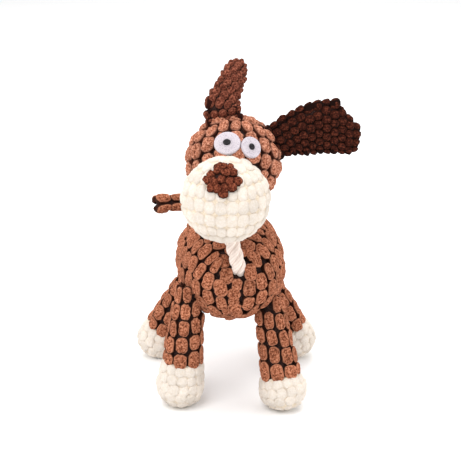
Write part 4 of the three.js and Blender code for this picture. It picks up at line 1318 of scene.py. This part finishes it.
# Rope: three strands laid round one another, pressed a little flat, that dive into the chest
STRANDS = 3
STRAND_RADIUS = ROPE_RADIUS / (1 + 2 / math.sqrt(3)) * 1.06
STRAND_FLAT = 1.08
LAY_RADIUS = ROPE_RADIUS - STRAND_RADIUS
LAY_PITCH = 25 * MM
YARNS = 8
YARN_TURNS = -8
ROPE_RINGS = 110
ROPE_OVERLAP = 7 * MM
ROPE_DIVE = 9 * MM
ROPE_DIVE_ROUND = 16 * MM

# Knots: points on their line, half the strand's thickness as a share of the ball's radius, and the height
KNOT_POINTS = 160
KNOT_STRAND = 0.3
KNOT_HEIGHT = 1.4


def rings_round(line, tangents, outward, radius, sides, flat=1.0):
    """Rings of points round a line."""
    across = np.cross(tangents, outward)[:, None, :]
    turn = around(sides)[:, None]
    rings = line[:, None, :] + outward[:, None, :] * radius * np.cos(turn)
    return rings + across * radius * flat * np.sin(turn)


def make_rope():
    length = np.linalg.norm(NECK_TOP - NECK_FOOT)
    along = np.linspace(-ROPE_OVERLAP, length + ROPE_OVERLAP, ROPE_RINGS)[:, None]
    dive = np.maximum(ROPE_DIVE - along, 0) ** 2 / ROPE_DIVE_ROUND * TORSO.normal(NECK_FOOT)
    first = unit(np.cross(NECK_AXIS, BACKWARD))
    second = np.cross(NECK_AXIS, first)
    ring = around(24)
    pile = (np.cos(ring) + 1) / 2
    count = ring / FULL_TURN * YARNS + np.linspace(0, YARN_TURNS, ROPE_RINGS)[:, None]
    sewing = Sewing()
    for strand in range(STRANDS):
        turn = FULL_TURN * (along / LAY_PITCH + strand / STRANDS)
        lay = first * np.cos(turn) + second * np.sin(turn)
        line = NECK_FOOT + NECK_AXIS * along + lay * LAY_RADIUS - dive
        tangents = unit(np.gradient(line, axis=0))
        outward = unit(lay - (lay * tangents).sum(axis=1, keepdims=True) * tangents)
        rings = rings_round(line, tangents, outward, STRAND_RADIUS, len(ring), STRAND_FLAT)
        sewing.add_skin(rings, pile=np.broadcast_to(pile, count.shape), rim=count)
    piece = sewing.mesh("rope_neck", [ROPE])
    finish_piece(piece, None, ["neck_rope_lower", "neck_rope_upper"])
    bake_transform(piece)


def make_knot(name, node, body):
    """An overhand knot, drawn tight: a trefoil of one strand inside its CAD ball."""
    low, high = (point(corner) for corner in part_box(node))
    reach = (high - low).min() / 2
    radius = reach * KNOT_STRAND
    turn = around(KNOT_POINTS)
    x = np.sin(turn) + 2 * np.sin(2 * turn)
    y = np.cos(turn) - 2 * np.cos(2 * turn)
    line = np.stack([x, y, -KNOT_HEIGHT * np.sin(3 * turn)], axis=1)
    line = (low + high) / 2 + line / 3 * (reach - radius)
    tangents = unit(np.roll(line, -1, axis=0) - np.roll(line, 1, axis=0))
    outward = unit(np.cross(tangents, UPWARD) + 1e-6)
    ring = around(16)
    rings = rings_round(line, tangents, outward, radius, len(ring))
    faces = grid_faces(KNOT_POINTS + 1, len(ring)) % (KNOT_POINTS * len(ring))
    sewing = Sewing()
    sewing.add(rings, [faces], pile=1.0, rim=ring / FULL_TURN * YARNS)
    finish_piece(sewing.mesh(name, [ROPE]), body, [node])


# Squeaker: the CAD pieces stay, with plastic on them
def dress_node(node, material):
    shown = frame["nodes"][node]
    shown.data.materials.clear()
    shown.data.materials.append(material)


# Stage: half the floor's side, what the lights aim at, and each light's place, size and watts
FLOOR_REACH = 6
FLOOR_TINT = (0.9, 0.9, 0.9, 1)
LIGHT_AIM = Vector((0, 0, 0.12))
LIGHTS = [
    ((-0.7, -1.1, 1.5), 1.3, 26),
    ((1.3, -0.9, 0.9), 1.2, 9),
    ((0.2, 1.2, 1.6), 1.2, 17),
    ((0.0, 0.0, 2.0), 1.6, 14),
    ((-1.5, 0.35, 0.5), 0.8, 7),
    ((1.5, 0.35, 0.5), 0.8, 7),
]
WORLD_STRENGTH = 0.55


def make_floor():
    data = bpy.data.meshes.new("floor")
    corners = [(x * FLOOR_REACH, y * FLOOR_REACH, 0) for x, y in ((-1, -1), (1, -1), (1, 1), (-1, 1))]
    data.from_pydata(corners, [], [(0, 1, 2, 3)])
    floor = bpy.data.objects.new("floor", data)
    bpy.context.collection.objects.link(floor)
    shader = Shader("floor", 0.9)
    shader.surface.inputs["Base Color"].default_value = FLOOR_TINT
    data.materials.append(shader.material)


def make_lights():
    for index, (place, size, energy) in enumerate(LIGHTS):
        light = bpy.data.lights.new(f"soft_light_{index}", "AREA")
        light.size = size
        light.energy = energy
        lamp = bpy.data.objects.new(f"soft_light_{index}", light)
        lamp.location = place
        lamp.rotation_mode = "QUATERNION"
        lamp.rotation_quaternion = (LIGHT_AIM - Vector(place)).to_track_quat("-Z", "Y")
        bpy.context.collection.objects.link(lamp)
    world = bpy.data.worlds.new("white_room")
    world.use_nodes = True
    background = world.node_tree.nodes["Background"]
    background.inputs["Color"].default_value = (1, 1, 1, 1)
    background.inputs["Strength"].default_value = WORLD_STRENGTH
    bpy.context.scene.world = world
    bpy.context.scene.view_settings.view_transform = "Standard"


make_torso()
make_head()
make_muzzle()
make_nose()
make_eyes()
for limb in LEGS:
    make_leg(limb)
    make_paw(limb)
# The right ear gets the lighter copy of the plush and the left ear the darker one: painted light and shade
make_ear("right", 81, LIT_EAR_PLUSH)
make_ear("left", 82, SHADED_EAR_PLUSH)
make_tail()
make_rope()
make_knot("knot_in_chest", "rope_knot_body", "torso")
make_knot("knot_in_head", "rope_knot_head", "head")
dress_node("squeaker_bulb", PLASTIC)
dress_node("squeaker_holder", PLASTIC)
dress_node("squeaker_reed", REED)
make_floor()
make_lights()
